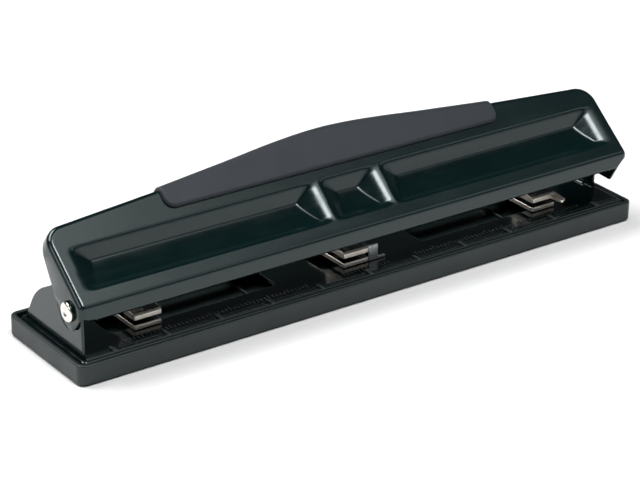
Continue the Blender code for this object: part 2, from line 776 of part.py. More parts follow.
def build_ring(name, x, parts):
    """An open retaining ring in the pin's groove, on top of the spring."""
    count = 26
    turn = 2 * (math.pi - RING_HALF_MOUTH)
    angles = [math.pi / 2 + RING_HALF_MOUTH + turn * k / count for k in range(count + 1)]
    outer = [Vector((x + RING_OUTER * math.cos(a), RING_OUTER * math.sin(a))) for a in angles]
    inner = [Vector((x + RING_INNER * math.cos(a), RING_INNER * math.sin(a))) for a in reversed(angles)]
    ring = slab(name, [outer + inner], GROOVE_BOTTOM + RING_PLAY, GROOVE_TOP - RING_PLAY, FLAT, parts)
    return finish(ring, "zinc", (x, 0, PIN_TIP))


def build_spring(name, x, parts):
    """A compression spring between the guide tower and the retaining ring, with closed end turns."""
    low = TOWER_TOP + GAP / 2 + SPRING_WIRE_RADIUS
    high = GROOVE_BOTTOM + RING_PLAY - GAP / 2 - SPRING_WIRE_RADIUS
    count = int(SPRING_TURNS * SPRING_STEPS_PER_TURN)
    curve = bpy.data.curves.new(name, "CURVE")
    curve.dimensions = "3D"
    curve.bevel_depth = SPRING_WIRE_RADIUS
    curve.bevel_resolution = 1
    curve.use_fill_caps = True
    spline = curve.splines.new("POLY")
    spline.points.add(count)
    for k, point in enumerate(spline.points):
        a = 2 * math.pi * SPRING_TURNS * k / count
        point.co = (
            x + SPRING_RADIUS * math.cos(a),
            SPRING_RADIUS * math.sin(a),
            low + (high - low) * k / count,
            1,
        )
    spring = mesh_object(name, curve_to_mesh(name, curve, FLAT), parts)
    return finish(spring, "spring_steel", (x, 0, TOWER_TOP), True)


def build_clamp(side, x, parts):
    """The screw through the head's foot and the frame's slot, and its square nut below the frame."""
    seat = DIE_TOP + HEAD_FOOT_RISE + GAP / 2
    head_top = seat + CLAMP_HEAD_HEIGHT
    nut_top = FRAME_TOP - SHEET - GAP / 2
    end = nut_top - NUT_THICKNESS + CLAMP_INSIDE_NUT
    profile = [
        (0.0, head_top),
        (CLAMP_CROWN_RADIUS, head_top - CLAMP_CROWN_DROP),
        (CLAMP_EDGE_RADIUS, head_top - CLAMP_EDGE_DROP),
        (CLAMP_HEAD_RADIUS, seat),
        (CLAMP_SHANK_RADIUS, seat),
        (CLAMP_SHANK_RADIUS, end),
        (0.0, end),
    ]
    place = Matrix.Translation((x, CLAMP_Y, 0))
    screw = turned(f"clamp_screw_{side}", profile, place, parts, 20)
    finish(screw, "zinc", (x, CLAMP_Y, seat), True)
    outer = rectangle(x - NUT_HALF, x + NUT_HALF, CLAMP_Y - NUT_HALF, CLAMP_Y + NUT_HALF, NUT_CORNER, 2)
    inner = circle(x, CLAMP_Y, CLAMP_SHANK_RADIUS + GAP / 4, 20)
    nut = slab(f"clamp_nut_{side}", [outer, inner], nut_top - NUT_THICKNESS, nut_top, FLAT, parts)
    finish(nut, "zinc", (x, CLAMP_Y, nut_top))


def build_pointer(x, parts):
    """The right head's thin pointer: it hooks round the jaw and reaches forward over the marks."""
    beside = HEAD_HALF_WIDTH + GAP
    before = HEAD_FRONT - GAP
    outline = fillet((
        (beside, before + 4.4 * MM, 0),
        (beside + 1.4 * MM, before + 4.4 * MM, 0),
        (beside + 1.2 * MM, before - 0.4 * MM, 0),
        (beside + 0.3 * MM, before - 6.3 * MM, 0.8 * MM),
        (beside - 2.8 * MM, before - 7.7 * MM, 0.8 * MM),
        (beside - 3.8 * MM, before - 2.0 * MM, 0),
        (beside - 3.6 * MM, before, 0),
        (beside, before, 0),
    ), 3)
    loop = [point + Vector((x, 0)) for point in outline]
    top = POINTER_BOTTOM + POINTER_THICKNESS
    pointer = slab("pointer_tab_right", [loop], POINTER_BOTTOM, top, FLAT, parts)
    return finish(pointer, "nickel", (x, 0, DIE_BOTTOM))


def build_gauge_tab(parts):
    """A small bent plate that stands on the frame beside the centre head, with its foot to the right."""
    first, last = TAB_SPAN
    low = DIE_BOTTOM
    outline = [
        Vector((first, low)),
        Vector((TAB_FOOT_END, low)),
        Vector((TAB_FOOT_END, low + TAB_SHEET)),
        Vector((last, low + TAB_SHEET)),
        Vector((last, TAB_TOP)),
        Vector((first, TAB_TOP)),
    ]
    tab = slab("gauge_tab_centre", [outline], -TAB_FRONT - TAB_SHEET, -TAB_FRONT, FACING, parts)
    return finish(tab, "zinc", (0, TAB_FRONT, low))


def build_rivet(side, sign, parts):
    """A domed rivet with a dished middle, through the lever's side plate and the frame's ear."""
    seat = HANDLE_HALF_LENGTH + RIVET_CLEARANCE
    crown = seat + RIVET_HEAD_HEIGHT
    tail_seat = EAR_INNER_X - RIVET_CLEARANCE
    tail = tail_seat - RIVET_TAIL_HEIGHT
    profile = [(radius, crown - drop) for radius, drop in RIVET_HEAD_SHAPE]
    profile += [
        (RIVET_HEAD_RADIUS, seat),
        (RIVET_SHANK_RADIUS, seat),
        (RIVET_SHANK_RADIUS, tail_seat),
        (RIVET_TAIL_RADIUS, tail_seat),
        (RIVET_TAIL_RADIUS - RIVET_TAIL_BEVEL, tail),
        (0.0, tail),
    ]
    turn = Matrix.Rotation(sign * math.pi / 2, 4, "Y")
    place = Matrix.Translation((0, PIVOT_Y, PIVOT_Z)) @ turn
    rivet = turned(f"pivot_rivet_{side}", profile, place, parts)
    return finish(rivet, "rivet_nickel", (sign * seat, PIVOT_Y, PIVOT_Z), True)


def main():
    clear_scene()
    parts, cutters = make_collections()
    build_tray(parts, cutters)
    build_frame(parts, cutters)
    build_handle(parts, cutters)
    build_pad(parts, cutters)
    build_presser(parts)
    for side, x in (("left", -HEAD_PITCH), ("centre", 0.0), ("right", HEAD_PITCH)):
        build_head(f"punch_head_{side}", x, parts, cutters)
        build_pin(f"punch_pin_{side}", x, parts)
        build_spring(f"return_spring_{side}", x, parts)
        build_ring(f"retaining_ring_{side}", x, parts)
        build_clamp(side, x, parts)
    for side, sign in (("left", -1), ("right", 1)):
        build_rivet(side, sign, parts)
    build_pointer(HEAD_PITCH, parts)
    build_gauge_tab(parts)
    drop_helpers(cutters)


main()
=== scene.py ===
"""Looks of a desktop three-hole paper punch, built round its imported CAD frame.

Shapes are modelled in millimetres in the frame's own axes and scaled to metres when a mesh is made.
"""

import math

import bmesh
import bpy
import numpy as np
from mathutils import Matrix, Vector
from mathutils.geometry import delaunay_2d_cdt


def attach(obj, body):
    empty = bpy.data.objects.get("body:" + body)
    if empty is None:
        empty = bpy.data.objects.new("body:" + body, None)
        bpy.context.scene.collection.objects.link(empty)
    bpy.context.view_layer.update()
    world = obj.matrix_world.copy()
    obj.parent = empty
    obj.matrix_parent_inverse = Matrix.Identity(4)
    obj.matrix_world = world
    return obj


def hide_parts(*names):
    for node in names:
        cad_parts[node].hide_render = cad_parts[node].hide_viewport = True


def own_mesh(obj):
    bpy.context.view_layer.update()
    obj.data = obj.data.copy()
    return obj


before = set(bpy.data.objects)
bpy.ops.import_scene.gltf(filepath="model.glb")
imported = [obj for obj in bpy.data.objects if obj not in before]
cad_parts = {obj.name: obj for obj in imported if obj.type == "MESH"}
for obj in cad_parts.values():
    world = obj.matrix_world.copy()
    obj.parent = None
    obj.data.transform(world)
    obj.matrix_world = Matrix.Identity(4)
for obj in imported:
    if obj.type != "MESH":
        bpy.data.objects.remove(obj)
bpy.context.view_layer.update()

MM = 0.001

# Lever: the face runs up and back from the crease, over the bend between it and the flange.
SLOPE = math.radians(38.6)
UP = np.array((math.cos(SLOPE), math.sin(SLOPE)))
OUT = np.array((-math.sin(SLOPE), math.cos(SLOPE)))
CREASE = np.array((-25.5, 33.9))
FLANGE_BOTTOM = 27.0
BEND = 3.0
HALF_LENGTH = 147.4
EDGE_ROLL = 2.4
CORNER = 9.0
LEVER_SHEET = 1.0
# The lip behind the top edge, deeper by a share of how far the edge lies below a height up the face.
LIP, LIP_GROWTH, LIP_GROWS_BELOW = 7.0, 0.394, 33.5
# The top edge's height up the face at each distance from the middle.
ARCH_X = (0.0, 10.0, 30.0, 50.0, 70.0, 92.0, 147.4)
ARCH_V = (51.1, 50.8, 49.2, 46.9, 44.8, 42.6, 38.2)
PIVOT = (-16.3, 29.2)
LOBE = 8.5
LOBE_FROM = math.radians(-28)
BORE = 3.08

# Recesses pressed into the face: (first, last) along X, all in one band up the face.
RECESSES = ((-139.5, -18.2), (-14.6, 14.6), (18.2, 139.5))
RECESS_LOW, RECESS_HIGH = 7.2, 27.2
RECESS_DEPTH, LOW_DEPTH = 5.2, 2.2
END_RUN, TOP_RUN, BOTTOM_RUN = 9.0, 5.6, 2.0
# How strongly the floor's tilt eases off towards its high side.
FLOOR_CURVE = 1.35
# Width over which the floor and the walls round into each other.
FLOOR_ROUNDING = 0.4
# The hips between walls: their rounding at the rim, and what it loses by the floor along a curve.
HIP_ROUNDING, HIP_LOSS, HIP_CURVE = 3.2, 2.9, 0.7
# The rim's rounding, and what it gains at the right end and along the bottom.
RIM_ROUNDING, RIM_END_ROUNDING, RIM_LOW_ROUNDING = 1.0, 1.1, 0.6
# Points of the planes that take off the lower front corners.
CORNER_CUTS = (
    ((-147.4, -25.5, 28.9), (-147.4, -21.6, 24.5), (-140.0, -25.5, 27.0)),
    ((147.4, -25.1, 32.2), (147.4, -17.8, 21.5), (140.3, -25.5, 26.0)),
)

# Grip pad: from its low edge on the face, over the rolled edge and down the lip by its reach.
PAD_HALF = 89.6
PAD_LOW = 32.2
PAD_THICK, PAD_WRAP = 2.0, 1.2
PAD_GAP = 0.3
PAD_REACH = 5.5
PAD_LOW_CORNER, PAD_HIGH_CORNER = 5.0, 2.0
PAD_EDGE_ROUNDING = 1.15
PAD_CROWN = 0.10
# Distances from an edge of the pad, close together where its edge rounds over.
PAD_EDGE_STEPS = (0.0, 0.03, 0.1, 0.22, 0.4, 0.65, 0.95, 1.4, 2.0, 2.8, 3.8, 5.0)

HEAD_PITCH = 108.0
SIDES = (("left", -HEAD_PITCH), ("centre", 0.0), ("right", HEAD_PITCH))


# ---------------------------------------------------------------- outlines

def fillet(corners, steps=5):
    """A closed outline from (u, v, radius) corners, each rounded by an arc of that radius."""
    outline = []
    count = len(corners)
    for i, (u, v, radius) in enumerate(corners):
        here = Vector((u, v))
        if radius <= 0:
            outline.append((u, v))
            continue
        before = (Vector(corners[i - 1][:2]) - here).normalized()
        after = (Vector(corners[(i + 1) % count][:2]) - here).normalized()
        half = before.angle(after) / 2
        centre = here + (before + after).normalized() * (radius / math.sin(half))
        reach = radius / math.tan(half)
        first = here + before * reach - centre
        turn = first.angle_signed(here + after * reach - centre)
        for step in range(steps + 1):
            point = centre + Matrix.Rotation(-turn * step / steps, 2) @ first
            outline.append((point.x, point.y))
    return outline


def rectangle(low_u, high_u, low_v, high_v, radius, steps=5):
    """A rectangle's outline with rounded corners."""
    corners = ((low_u, low_v), (high_u, low_v), (high_u, high_v), (low_u, high_v))
    return fillet([(u, v, radius) for u, v in corners], steps)


def circle(centre_u, centre_v, radius, count=40):
    """A circle's outline, or an even-sided one for a small count."""
    turns = (2 * math.pi * k / count for k in range(count))
    return [(centre_u + radius * math.cos(a), centre_v + radius * math.sin(a)) for a in turns]


def quarter_round(first, last, steps, level=False):
    """A quarter of an ellipse between two points. It leaves the first one along v, or level along u."""
    (u, v), (end_u, end_v) = first, last
    points = []
    for step in range(steps + 1):
        a = math.pi / 2 * step / steps
        sine, rest = math.sin(a), 1 - math.cos(a)
        along_u, along_v = (sine, rest) if level else (rest, sine)
        points.append((u + (end_u - u) * along_u, v + (end_v - v) * along_v))
    return points


def area(loop):
    """An outline's area, below zero when it runs clockwise."""
    return sum(a[0] * b[1] - b[0] * a[1] for a, b in zip(loop, loop[1:] + loop[:1])) / 2


def drawn_in(loop, inset):
    """The outline moved to its inside by the inset, each point along the bisector of its two sides."""
    side = 1 if area(loop) > 0 else -1
    moved = []
    for i, here in enumerate(loop):
        here = Vector(here)
        back = (here - Vector(loop[i - 1])).normalized()
        on = (Vector(loop[(i + 1) % len(loop)]) - here).normalized()
        out_normal = Vector((-on.y, on.x)) * side
        normal = (Vector((-back.y, back.x)) * side + out_normal).normalized()
        spread = max(normal.dot(out_normal), 0.4)
        moved.append(tuple(here + normal * inset / spread))
    return moved


def inside(point, loop):
    """Whether a point lies inside an outline."""
    u, v = point
    hit = False
    for (u0, v0), (u1, v1) in zip(loop, loop[1:] + loop[:1]):
        if (v0 > v) != (v1 > v) and u < u0 + (v - v0) * (u1 - u0) / (v1 - v0):
            hit = not hit
    return hit


def fill(loops, order):
    """Triangles over the first loop less the others, by the point numbers in order, loop after loop."""
    points, edges = [], []
    for loop in loops:
        start = len(points)
        points.extend(loop)
        edges.extend((start + k, start + (k + 1) % len(loop)) for k in range(len(loop)))
    vectors = [Vector(p) for p in points]
    verts, _, faces, origins, _, _ = delaunay_2d_cdt(vectors, edges, [], 1, 1e-6)

    def number_of(k):
        # Where a tight corner crosses itself, the crossing takes its nearest drawn point.
        if origins[k]:
            return origins[k][0]
        return min(range(len(vectors)), key=lambda m: (vectors[m] - verts[k]).length_squared)

    kept = []
    for face in faces:
        middle = sum((verts[k] for k in face), Vector((0, 0))) / len(face)
        if inside(middle, loops[0]) and not any(inside(middle, hole) for hole in loops[1:]):
            numbers = [number_of(k) for k in face]
            if len(set(numbers)) == len(numbers):
                kept.append([order[k] for k in numbers])
    return kept


# ---------------------------------------------------------------- meshes

FLAT = Matrix.Identity(4)
# Local x, y, z run along world Y, Z, X.
ACROSS = Matrix(((0, 0, 1, 0), (1, 0, 0, 0), (0, 1, 0, 0), (0, 0, 0, 1)))
# Local x, y, z run along world X, Z, Y.
ALONG = Matrix(((1, 0, 0, 0), (0, 0, 1, 0), (0, 1, 0, 0), (0, 0, 0, 1)))


class Shape:
    """Points and faces gathered in millimetres, and made into one object."""

    def __init__(self, points=(), faces=()):
        self.points = []
        self.faces = []
        self.add(points, faces)

    def add(self, points, faces, placing=FLAT):
        start = len(self.points)
        self.points.extend(tuple(placing @ Vector(p)) for p in points)
        self.faces.extend([start + k for k in face] for face in faces)

    def build(self, name, material, sharp=40.0, merge=1e-7):
        mesh = bpy.data.meshes.new(name)
        made = bmesh.new()
        verts = [made.verts.new((x * MM, y * MM, z * MM)) for x, y, z in self.points]
        for face in {tuple(sorted(face)): face for face in self.faces}.values():
            if len(set(face)) == len(face):
                made.faces.new([verts[k] for k in face])
        bmesh.ops.remove_doubles(made, verts=made.verts, dist=merge)
        bmesh.ops.dissolve_degenerate(made, edges=made.edges, dist=merge)
        bmesh.ops.recalc_face_normals(made, faces=made.faces)
        made.to_mesh(mesh)
        made.free()
        mesh.materials.append(material)
        mesh.shade_smooth()
        mesh.set_sharp_from_angle(angle=math.radians(sharp))
        obj = bpy.data.objects.new(name, mesh)
        bpy.context.scene.collection.objects.link(obj)
        return obj


def strip(first, second, closed=True):
    """Faces between two rings of point numbers."""
    count = len(first)
    return [
        (first[k], first[(k + 1) % count], second[(k + 1) % count], second[k])
        for k in range(count if closed else count - 1)
    ]


def joined(rings, closed=True):
    """Faces between each ring of point numbers and the next."""
    return [face for first, second in zip(rings, rings[1:]) for face in strip(first, second, closed)]


def add_ring(points, ring):
    """Adds a ring's points to the others, and returns their numbers."""
    numbers = list(range(len(points), len(points) + len(ring)))
    points.extend(ring)
    return numbers


def swept(shape, loops, profile, placing=FLAT):
    """An outline and its holes, drawn in by each (inset, height) in turn and filled at both ends."""
    points, faces, walls = [], [], []
    for number, loop in enumerate(loops):
        rings = []
        for inset, height in profile:
            edge = drawn_in(loop, inset if number == 0 else -inset)
            rings.append(add_ring(points, [(u, v, height) for u, v in edge]))
        faces.extend(joined(rings))
        walls.append(rings)
    for end in (0, -1):
        flat = [[points[k][:2] for k in rings[end]] for rings in walls]
        faces.extend(fill(flat, [k for rings in walls for k in rings[end]]))
    shape.add(points, faces, placing)


def rounded_plate(shape, loops, low, high, rounding, placing=FLAT, steps=3):
    """A flat plate with quarter-round edges along its outline and its holes."""
    profile = quarter_round((rounding, low), (0.0, low + rounding), steps, level=True)
    profile += [(inset, high + low - height) for inset, height in reversed(profile)]
    swept(shape, loops, profile, placing)


def turned(shape, profile, placing=FLAT, segments=64, looped=False):
    """A turned body from an (r, z) profile that ends on its axis or, looped, closes on itself."""
    points, faces, rings = [], [], []
    for radius, height in profile:
        ring = circle(0.0, 0.0, radius, segments) if radius else [(0.0, 0.0)]
        rings.append(add_ring(points, [(u, v, height) for u, v in ring]))
    for first, second in zip(rings, rings[1:] + (rings[:1] if looped else [])):
        if len(first) == 1:
            faces.extend((first[0], second[(k + 1) % segments], second[k]) for k in range(segments))
        elif len(second) == 1:
            faces.extend((first[k], first[(k + 1) % segments], second[0]) for k in range(segments))
        else:
            faces.extend(strip(first, second))
    shape.add(points, faces, placing)


def weighted(obj):
    """Gives a piece normals weighted by its faces, so that flat stretches look flat."""
    modifier = obj.modifiers.new("normals", "WEIGHTED_NORMAL")
    modifier.keep_sharp = True
    modifier.weight = 80
    return obj


def finish_piece(obj, body, nodes):
    """Puts a piece on the body it rides and hides the CAD nodes it stands for."""
    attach(obj, body)
    if nodes:
        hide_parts(*nodes)
    return obj


def build_piece(shape, node, look, body, sharp=35):
    """The piece that stands for one CAD node, from its gathered shape."""
    obj = weighted(shape.build(f"{node}_body", look, sharp=sharp))
    return finish_piece(obj, body, [node])


# ---------------------------------------------------------------- materials

class Finish:
    """A Principled material whose colour, roughness and relief come from procedural textures."""

    def __init__(self, name, metallic=0.0):
        self.material = bpy.data.materials.new(name)
        self.material.use_nodes = True
        self.tree = self.material.node_tree
        self.shader = self.tree.nodes["Principled BSDF"]
        self.shader.inputs["Metallic"].default_value = metallic
        self.coordinates = self.node("TexCoord").outputs["Object"]
        self.relief = None

    def link(self, output, target):
        self.tree.links.new(output, target)

    def node(self, kind, **values):
        """A new node with its inputs set by name, where an underscore stands for a space."""
        node = self.tree.nodes.new("ShaderNode" + kind)
        for name, value in values.items():
            node.inputs[name.replace("_", " ")].default_value = value
        return node

    def stretched(self, scale):
        mapping = self.node("Mapping", Scale=scale)
        self.link(self.coordinates, mapping.inputs["Vector"])
        return mapping.outputs["Vector"]

    def noise(self, scale, detail, roughness, stretch=None):
        texture = self.node("TexNoise", Scale=scale, Detail=detail, Roughness=roughness)
        self.link(self.stretched(stretch) if stretch else self.coordinates, texture.inputs["Vector"])
        return texture.outputs["Fac"]

    def cells(self, scale):
        texture = self.node("TexVoronoi", Scale=scale)
        self.link(self.coordinates, texture.inputs["Vector"])
        return texture.outputs["Distance"]

    def ranged(self, value, low, high, to_low=0.0, to_high=1.0):
        """A value's stretch from low to high, spread over another stretch."""
        change = self.node("MapRange", From_Min=low, From_Max=high, To_Min=to_low, To_Max=to_high)
        self.link(value, change.inputs["Value"])
        return change.outputs["Result"]

    def blended(self, factor, first, second):
        """A colour between two, each a colour or another node's output."""
        mix = self.node("Mix")
        mix.data_type = "RGBA"
        self.link(factor, mix.inputs["Factor"])
        for socket, value in ((mix.inputs[6], first), (mix.inputs[7], second)):
            if isinstance(value, tuple):
                socket.default_value = (*value, 1.0)
            else:
                self.link(value, socket)
        return mix.outputs[2]

    def summed(self, first, second):
        maths = self.node("Math")
        self.link(first, maths.inputs[0])
        self.link(second, maths.inputs[1])
        return maths.outputs[0]

    def colour(self, output):
        self.link(output, self.shader.inputs["Base Color"])

    def roughness(self, output):
        self.link(output, self.shader.inputs["Roughness"])

    def bump(self, height, strength, distance):
        node = self.node("Bump", Strength=strength, Distance=distance)
        self.link(height, node.inputs["Height"])
        if self.relief:
            self.link(self.relief, node.inputs["Normal"])
        self.relief = node.outputs["Normal"]
        self.link(self.relief, self.shader.inputs["Normal"])


def enamel(name, dark, light, gloss):
    """Baked enamel on steel: a faint orange peel, soft waves of the pressing, dust and handling haze."""
    finish = Finish(name)
    patches = finish.noise(18.0, 4.0, 0.6)
    dust = finish.ranged(finish.noise(2600.0, 2.0, 0.5), 0.68, 0.78)
    tone = finish.blended(finish.ranged(patches, 0.35, 0.7), dark, light)
    finish.colour(finish.blended(finish.ranged(dust, 0.0, 1.0, 0.0, 0.14), tone, (0.16, 0.17, 0.165)))
    haze = finish.ranged(finish.noise(42.0, 5.0, 0.65), 0.3, 0.75, gloss, gloss + 0.11)
    rubbed = finish.ranged(finish.noise(260.0, 3.0, 0.6, stretch=(0.12, 1.0, 1.0)), 0.45, 0.8, 0.0, 0.07)
    finish.roughness(finish.summed(haze, rubbed))
    finish.bump(finish.noise(16.0, 1.0, 0.4), 0.12, 0.0012)
    finish.bump(finish.noise(620.0, 2.0, 0.5), 0.10, 0.00012)
    finish.shader.inputs["IOR"].default_value = 1.52
    finish.shader.inputs["Specular Tint"].default_value = (0.90, 1.0, 1.0, 1.0)
    return finish.material


def tray_plastic():
    """Moulded plastic with a fine spark-eroded grain and a little scuffing."""
    finish = Finish("tray_plastic_look")
    patches = finish.noise(24.0, 4.0, 0.6)
    tone = finish.blended(finish.ranged(patches, 0.3, 0.7), (0.003, 0.010, 0.010), (0.007, 0.015, 0.015))
    scuffs = finish.ranged(finish.noise(160.0, 4.0, 0.7, stretch=(0.2, 1.0, 1.0)), 0.66, 0.78, 0.0, 0.5)
    finish.colour(finish.blended(scuffs, tone, (0.05, 0.055, 0.055)))
    finish.roughness(finish.ranged(finish.noise(70.0, 4.0, 0.6), 0.3, 0.75, 0.34, 0.5))
    finish.bump(finish.noise(1900.0, 2.0, 0.6), 0.22, 0.00010)
    finish.shader.inputs["IOR"].default_value = 1.5
    return finish.material


def pad_foam():
    """Soft vinyl foam: matte, finely pored, slightly polished where a palm rests."""
    finish = Finish("pad_foam_look")
    patches = finish.noise(20.0, 5.0, 0.65)
    tone = finish.blended(finish.ranged(patches, 0.3, 0.7), (0.006, 0.0105, 0.0165), (0.008, 0.013, 0.0195))
    pores = finish.ranged(finish.cells(1500.0), 0.12, 0.4)
    finish.colour(finish.blended(pores, (0.0045, 0.0080, 0.0130), tone))
    finish.roughness(finish.ranged(finish.noise(30.0, 3.0, 0.6), 0.3, 0.75, 0.55, 0.72))
    finish.bump(finish.noise(900.0, 3.0, 0.6), 0.30, 0.00014)
    finish.bump(pores, 0.25, 0.00008)
    finish.shader.inputs["Sheen Weight"].default_value = 0.12
    finish.shader.inputs["Sheen Roughness"].default_value = 0.45
    return finish.material


def plated(name, bright, dull, gloss, brushed):
    """Plated or ground steel: brushed one way, spotted and slightly tarnished."""
    finish = Finish(name, 1.0)
    spots = finish.ranged(finish.noise(420.0, 4.0, 0.65), 0.42, 0.72)
    finish.colour(finish.blended(spots, bright, dull))
    grain = finish.noise(2400.0, 2.0, 0.5, stretch=brushed)
    rough = finish.ranged(grain, 0.3, 0.7, gloss, gloss + 0.10)
    finish.roughness(finish.summed(rough, finish.ranged(spots, 0.0, 1.0, 0.0, 0.08)))
    finish.bump(grain, 0.12, 0.00006)
    return finish.material


def floor_look():
    """Matt pale studio floor."""
    finish = Finish("floor_look")
    finish.colour(finish.blended(finish.noise(3.0, 3.0, 0.5), (0.86, 0.86, 0.86), (0.89, 0.89, 0.89)))
    finish.roughness(finish.ranged(finish.noise(40.0, 3.0, 0.5), 0.3, 0.7, 0.8, 0.9))
    finish.bump(finish.noise(700.0, 2.0, 0.5), 0.05, 0.0001)
    return finish.material


LEVER_LOOK = enamel("lever_enamel_look", (0.0005, 0.0062, 0.0066), (0.0010, 0.0084, 0.0088), 0.13)
FRAME_LOOK = enamel("frame_enamel_look", (0.0008, 0.0040, 0.0044), (0.0020, 0.0062, 0.0066), 0.06)
TRAY_LOOK = tray_plastic()
PAD_LOOK = pad_foam()
NICKEL_LOOK = plated("nickel_look", (0.95, 0.89, 0.80), (0.84, 0.76, 0.66), 0.36, (1.0, 0.08, 1.0))
# A darker copy of the nickel: painted shade for the punch heads' level faces.
NICKEL_SHADE_LOOK = plated("nickel_shade_look", (0.16, 0.16, 0.16), (0.10, 0.10, 0.10), 0.08, (1.0, 0.08, 1.0))
RIVET_LOOK = plated("rivet_look", (0.86, 0.84, 0.80), (0.66, 0.62, 0.56), 0.14, (1.0, 1.0, 1.0))
PIN_LOOK = plated("pin_steel_look", (0.66, 0.67, 0.68), (0.46, 0.47, 0.48), 0.18, (0.4, 0.4, 2.0))
SPRING_LOOK = plated("spring_steel_look", (0.56, 0.57, 0.59), (0.36, 0.36, 0.38), 0.22, (1.0, 1.0, 1.0))
ZINC_LOOK = plated("zinc_look", (0.66, 0.69, 0.71), (0.48, 0.50, 0.50), 0.26, (0.08, 1.0, 1.0))
MARK_LOOK = enamel("mark_enamel_look", (0.02, 0.027, 0.027), (0.035, 0.043, 0.042), 0.2)


# ---------------------------------------------------------------- lever

def face(v, out):
    """(y, z) of points up the face from the crease by v and out from it."""
    v, out = np.asarray(v, float), np.asarray(out, float)
    return CREASE[0] + UP[0] * v + OUT[0] * out, CREASE[1] + UP[1] * v + OUT[1] * out


def arch(x):
    """The top edge's height up the face and its slope, by a smooth curve through the drawn points."""
    xs, vs = np.array(ARCH_X), np.array(ARCH_V)
    slopes = np.gradient(vs, xs)
    slopes[0] = 0.0
    slopes[-1] = slopes[-2] = (vs[-1] - vs[-2]) / (xs[-1] - xs[-2])
    a = abs(x)
    k = min(int(np.searchsorted(xs, a, side="right")) - 1, len(xs) - 2)
    span = xs[k + 1] - xs[k]
    t = (a - xs[k]) / span
    value = (
        (2 * t**3 - 3 * t**2 + 1) * vs[k]
        + (t**3 - 2 * t**2 + t) * span * slopes[k]
        + (3 * t**2 - 2 * t**3) * vs[k + 1]
        + (t**3 - t**2) * span * slopes[k + 1]
    )
    rate = (
        (6 * t**2 - 6 * t) * (vs[k] - vs[k + 1]) / span
        + (3 * t**2 - 4 * t + 1) * slopes[k]
        + (3 * t**2 - 2 * t) * slopes[k + 1]
    )
    return float(value), float(rate if x >= 0 else -rate)


def smooth_min(a, b, k):
    """The lower of two values, rounded over a width of k where they cross."""
    h = np.clip(0.5 + 0.5 * (b - a) / k, 0.0, 1.0)
    return b * (1 - h) + a * h - k * h * (1 - h)


def lower_share(a, b):
    """Near 1 where a lies below b and near 0 where it lies above, with a soft change between."""
    return 1.0 / (1.0 + np.exp(np.clip((a - b) / 0.4, -30.0, 30.0)))


def pressed_depth(x, v):
    """How far the pressing sinks the face at (x, v): sloped walls with soft hips, and a tilted floor."""
    x, v = np.broadcast_arrays(np.asarray(x, float), np.asarray(v, float))
    total = np.zeros(x.shape)
    low_wall = (v - RECESS_LOW) * LOW_DEPTH / BOTTOM_RUN
    top_wall = (RECESS_HIGH - v) * RECESS_DEPTH / TOP_RUN
    across = np.minimum(low_wall, top_wall)
    floor_low, floor_high = RECESS_LOW + BOTTOM_RUN, RECESS_HIGH - TOP_RUN
    rise = np.clip((v - floor_low) / (floor_high - floor_low), 0.0, 1.0)
    floor = LOW_DEPTH + (RECESS_DEPTH - LOW_DEPTH) * (1.0 - (1.0 - rise) ** FLOOR_CURVE)
    for first, last in RECESSES:
        right_wall = (last - x) * RECESS_DEPTH / END_RUN
        ends = np.minimum((x - first) * RECESS_DEPTH / END_RUN, right_wall)
        depth_share = np.clip(np.minimum(ends, across) / RECESS_DEPTH, 0.0, 1.0)
        walls = smooth_min(ends, across, HIP_ROUNDING - HIP_LOSS * depth_share**HIP_CURVE)
        sunk = smooth_min(walls, floor, FLOOR_ROUNDING)
        # The rim is crisp along the top and the left, softer along the bottom and broad at the right end.
        at_end = lower_share(right_wall, across)
        at_bottom = lower_share(low_wall, top_wall) * (1.0 - at_end)
        rim = RIM_ROUNDING + RIM_END_ROUNDING * at_end + RIM_LOW_ROUNDING * at_bottom
        total = np.maximum(total, -smooth_min(-sunk, np.zeros(x.shape), rim))
    return total


def spaced(*stretches):
    """Places along (first, last, step) stretches, each evenly divided and without its last place."""
    places = []
    for first, last, step in stretches:
        count = max(1, int(round(abs(last - first) / step)))
        places += [first + (last - first) * k / count for k in range(count)]
    return places


def lever_outline():
    """The face's edge from the left end over the arch to the right end: (x, v, inward x, inward v)."""
    tilt = math.atan(-arch(HALF_LENGTH)[1])
    centre_x = HALF_LENGTH - CORNER
    centre_v = arch(centre_x)[0] - CORNER / math.cos(tilt)
    half = []
    for step in range(15):
        a = (math.pi / 2 - tilt) * step / 14
        along, up = math.cos(a), math.sin(a)
        half.append((centre_x + CORNER * along, centre_v + CORNER * up, -along, -up))
    # Places lie close together over the recesses' ends.
    xs = spaced((half[-1][0], 126.0, 0.4), (126.0, 31.0, 4.8), (31.0, 3.5, 0.4), (3.5, 0.0, 1.2))
    for x in xs[1:] + [0.0]:
        v, rate = arch(x)
        size = math.hypot(1.0, rate)
        half.append((x, v, rate / size, -1 / size))
    mirrored = [(-x, v, -nx, nv) for x, v, nx, nv in half]
    return mirrored + list(reversed(half[:-1])), centre_v


def lever_rows(shoulder):
    """Rows below the shoulder: (y, z, inward y, inward z, distance up the face or below zero off it)."""
    turn = math.pi / 2 - SLOPE
    reach = BEND * math.tan(turn / 2)
    rows = [(CREASE[0], z, 1.0, 0.0, -1.0) for z in spaced((FLANGE_BOTTOM, CREASE[1] - reach, 1.1))]
    for step in range(11):
        a = turn * step / 10
        y = CREASE[0] + BEND - BEND * math.cos(a)
        z = CREASE[1] - reach + BEND * math.sin(a)
        rows.append((y, z, math.cos(a), -math.sin(a), reach if step == 10 else -1.0))
    # Rows lie close together over the recesses' low and high walls.
    up_face = spaced((reach, 5.4, 1.0), (5.4, 12.2, 0.34), (12.2, 19.0, 0.75), (19.0, shoulder, 0.38))
    for v in up_face[1:] + [shoulder]:
        y, z = face(v, 0.0)
        rows.append((float(y), float(z), -OUT[0], -OUT[1], v))
    return rows


